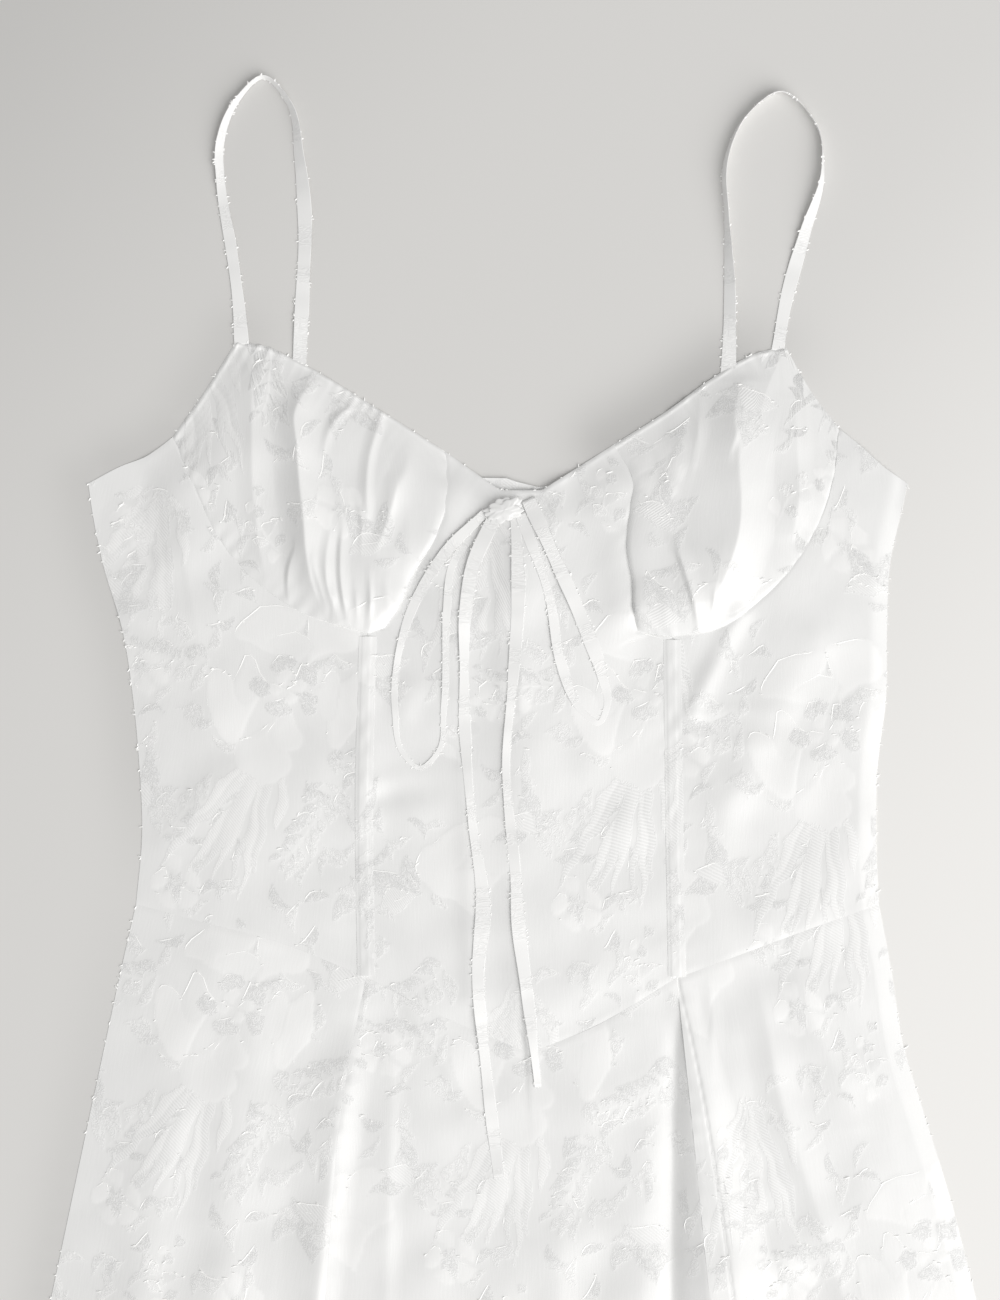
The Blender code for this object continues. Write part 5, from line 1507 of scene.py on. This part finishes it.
def weaveGroup():
    # from a place on the cloth in metres: hatching, squiggles, slubs and a soft cloud of painted sheen,
    # between 0 and 1
    group = bpy.data.node_groups.new("weave", "ShaderNodeTree")
    group.interface.new_socket("Place", in_out="INPUT", socket_type="NodeSocketVector")
    for label in ("Hatching", "Squiggle", "Slubs", "Cloud"):
        group.interface.new_socket(label, in_out="OUTPUT", socket_type="NodeSocketFloat")
    start, end = group.nodes.new("NodeGroupInput"), group.nodes.new("NodeGroupOutput")
    place = start.outputs["Place"]
    # the wave texture's scale of 1 gives a period of a fifth of pi along the bands' way
    scale = 1000 * math.pi / 10 / cloth["twillPeriod"]
    turned = addNode(group, "Mapping", Vector=place, Rotation=(0, 0, math.radians(cloth["twillTurn"])))
    hatch = addNode(group, "TexWave", {"bands_direction": "X"}, Vector=turned.outputs[0], Scale=scale,
                    Distortion=0.7, Detail=1.0)
    # squiggles are the level lines of a noise, folded up and down
    noise = addNode(group, "TexNoise", Vector=place, Scale=300.0, Detail=1.5, Distortion=0.9)
    folded = combine(group, "PINGPONG", combine(group, "MULTIPLY", noise.outputs["Fac"], 8.0), 0.5)
    stretched = addNode(group, "Mapping", Vector=place, Scale=(1.0, 0.12, 1.0))
    slub = addNode(group, "TexNoise", Vector=stretched.outputs[0], Scale=900.0, Detail=2.0)
    # the cloud is painted sheen: the satin's sheen, uneven at random, put into its colour
    cloud = addNode(group, "TexNoise", Vector=place, Scale=55.0, Detail=3.0)
    made = (hatch.outputs["Fac"], combine(group, "MULTIPLY", folded, 2.0), slub.outputs["Fac"],
            cloud.outputs["Fac"])
    for socket, target in zip(made, end.inputs):
        group.links.new(socket, target)
    return group


def clothMaterial(name, weave):
    # the figured satin, which reads the weave and tone of the panels and bands
    made, tree, shader = newMaterial(name, {"Sheen Weight": cloth["sheen"]})
    masks = tree.nodes.new("ShaderNodeGroup")
    masks.node_tree = weave
    place = addNode(tree, "UVMap", {"uv_map": "cloth"})
    tree.links.new(place.outputs["UV"], masks.inputs["Place"])
    slubs = combine(tree, "MULTIPLY", masks.outputs["Slubs"], cloth["slubDepth"])
    kind, tone = attribute(tree, "weave"), attribute(tree, "tone")
    # the kind of weave: 0 is smooth satin, a half is squiggled, 1 is hatched
    hatched = addNode(tree, "MapRange", Value=kind, i1=0.55, i2=1.0).outputs[0]
    away = combine(tree, "ABSOLUTE", combine(tree, "SUBTRACT", kind, 0.5), 0.0)
    squiggled = addNode(tree, "MapRange", Value=away, i1=0.4, i2=0.1).outputs[0]
    drawn = combine(tree, "ADD", combine(tree, "MULTIPLY", masks.outputs["Hatching"], hatched),
                    combine(tree, "MULTIPLY", masks.outputs["Squiggle"], squiggled))
    depth = combine(tree, "MULTIPLY", drawn, cloth["twillDepth"])
    bump = addNode(tree, "Bump", Height=combine(tree, "ADD", depth, slubs), Distance=1.0)
    tree.links.new(bump.outputs["Normal"], shader.inputs["Normal"])
    rough = addNode(tree, "MapRange", Value=kind, i3=cloth["smoothRoughness"], i4=cloth["hatchedRoughness"])
    tree.links.new(rough.outputs[0], shader.inputs["Roughness"])
    # tone plus the drawing and a soft cloud of painted sheen, from -1 to 1, picks the colour between deep,
    # ground and bright
    worked = combine(tree, "ADD", hatched, squiggled)
    lines = combine(tree, "SUBTRACT", drawn, combine(tree, "MULTIPLY", worked, 0.5))
    drift = combine(tree, "SUBTRACT", masks.outputs["Cloud"], 0.5)
    drift = combine(tree, "MULTIPLY", drift, cloth["paintedSheenShare"])
    shade = combine(tree, "ADD", combine(tree, "MULTIPLY", tone, cloth["toneShare"]),
                    combine(tree, "MULTIPLY", lines, cloth["drawingShare"]))
    mixed = addNode(tree, "MapRange", Value=combine(tree, "ADD", shade, drift), i1=-1.0, i2=1.0)
    ramp = addNode(tree, "ValToRGB", Fac=mixed.outputs[0])
    steps = ramp.color_ramp.elements
    steps[0].color, steps[1].color = cloth["deepColour"], cloth["brightColour"]
    steps.new(0.5).color = cloth["groundColour"]
    tree.links.new(ramp.outputs["Color"], shader.inputs["Base Color"])
    return made


makeCamera()
makeStudio()
satin = clothMaterial("satin_jacquard", weaveGroup())
thread = newMaterial("floss", floss)[0]

made = bodiceSeams()
panels = {
    "bodice_front_centre": centrePanel(made),
    "bodice_side_left": sidePanel(made, "Left"),
    "bodice_side_right": sidePanel(made, "Right"),
    "cup_left": cupPanel(made, "Left"),
    "cup_right": cupPanel(made, "Right"),
}
panels.update({"skirt_front_" + key: grid for key, grid in skirtPanels().items()})
print("panels computed")
trees = [treeOf(grid) for grid in panels.values()]
print("trees built")

draw = np.random.default_rng(11)


def clipped(kind, spots, ways):
    # threads of one kind, each with a length of its own
    lengths = draw.uniform(kind.shortest, kind.longest, len(ways))
    return threads(spots, ways, lengths, kind.lift, kind.seed)


def edgeTufts(kind, line, inner):
    # clipped ends that stick out along an edge and look away from the cloth
    length = lengthsAlong(line)
    wanted = draw.uniform(0, length[-1], int(length[-1] / 1000 * kind.perMetre))
    spots = np.stack([np.interp(wanted, length, line[:, i]) for i in range(3)], axis=1)
    out = line - inner
    ways = np.interp(wanted, length, np.unwrap(np.arctan2(out[:, 1], out[:, 0])))
    return clipped(kind, spots, ways + draw.normal(0, 0.8, len(ways)))


def addBandTufts(name, rings):
    middle = rings.mean(axis=1)
    bundles = [edgeTufts(tufts["band"], rings[:, k], middle) for k in (0, rings.shape[1] // 2)]
    made = addThreads(name + "_tufts", bundles, thread)
    return made


# the tie's lengths in metres, from the knot to the free ends or once round a loop
tieLengths = {"tie_loop_left": 0.282, "tie_loop_right": 0.236, "tie_tail_left": 0.334,
              "tie_tail_right": 0.291}
for name, length in tieLengths.items():
    made, middle, rings = addBand(name, band["tieWidth"], satin, trees)
    addBandTufts(name, rings)
for name in ("strap_left", "strap_right"):
    made, middle, rings = addBand(name, band["strapWidth"], satin, [])
    addBandTufts(name, rings)
addKnot(satin, trees)
for side in ("Left", "Right"):
    made = addChannel(side, satin)
print("bands added")


def addPanel(name, grid, flatUnder=None, thick=dress["shell"]):
    # a panel's shell, with the jacquard's relief on it, which fades out at the seams
    weave, tone, relief = jacquard(name, grid)
    along, aside = clothLengths(grid)
    away = np.minimum(np.minimum(along, along[:, -1:] - along), np.minimum(aside, aside[-1:] - aside))
    grid = grid.copy()
    grid[..., 2] += relief * (1 - np.exp(-((away / dress["reliefFade"]) ** 2)))
    values = {"weave": weave, "tone": tone}
    piece = addShell(name + "_cloth", grid, thick, satin, values, flatUnder=flatUnder)
    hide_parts(name)
    return piece, grid


pieces = {}
for name, grid in panels.items():
    pieces[name], panels[name] = addPanel(name, grid)
for name, grid in backPanels().items():
    addPanel(name, grid, 0.0, back["height"])[0]
print("panels added")

lines = bladeLines()
for (name, grid), tree in zip(panels.items(), trees):
    drawn, places, height = addLines(name, grid, tree, lines, thread)
    good = np.flatnonzero(~np.isnan(height[:-1]))
    # clipped threads stand along the outlines, in bunches, and run with the weft
    bunch = np.sin(places[good, 0] / 7.0 + 2 * np.sin(places[good, 1] / 11.0)) + np.sin(places[good, 1] / 6.0)
    chance = figureTufts["share"] + figureTufts["bunched"] * (bunch > figureTufts["bunchLevel"])
    good = good[draw.random(len(good)) < chance]
    spots = withHeight(places[good], height[good])
    spots[:, :2] += draw.normal(0, figureTufts["scatter"], (len(good), 2))
    turns = draw.normal(0, figureTufts["swing"], len(good)) + math.pi * draw.integers(0, 2, len(good))
    bundles = [clipped(tufts["figure"], spots, turns)]
    borders = {"left": (grid[:, 0], grid[:, 2]), "right": (grid[:, -1], grid[:, -3]),
               "top": (grid[-1], grid[-3])}
    bundles += [edgeTufts(tufts["edge"], *borders[side]) for side in pieceTable[name].tufted]
    loose = addThreads(name + "_tufts", bundles, thread)
print("lines and tufts added")
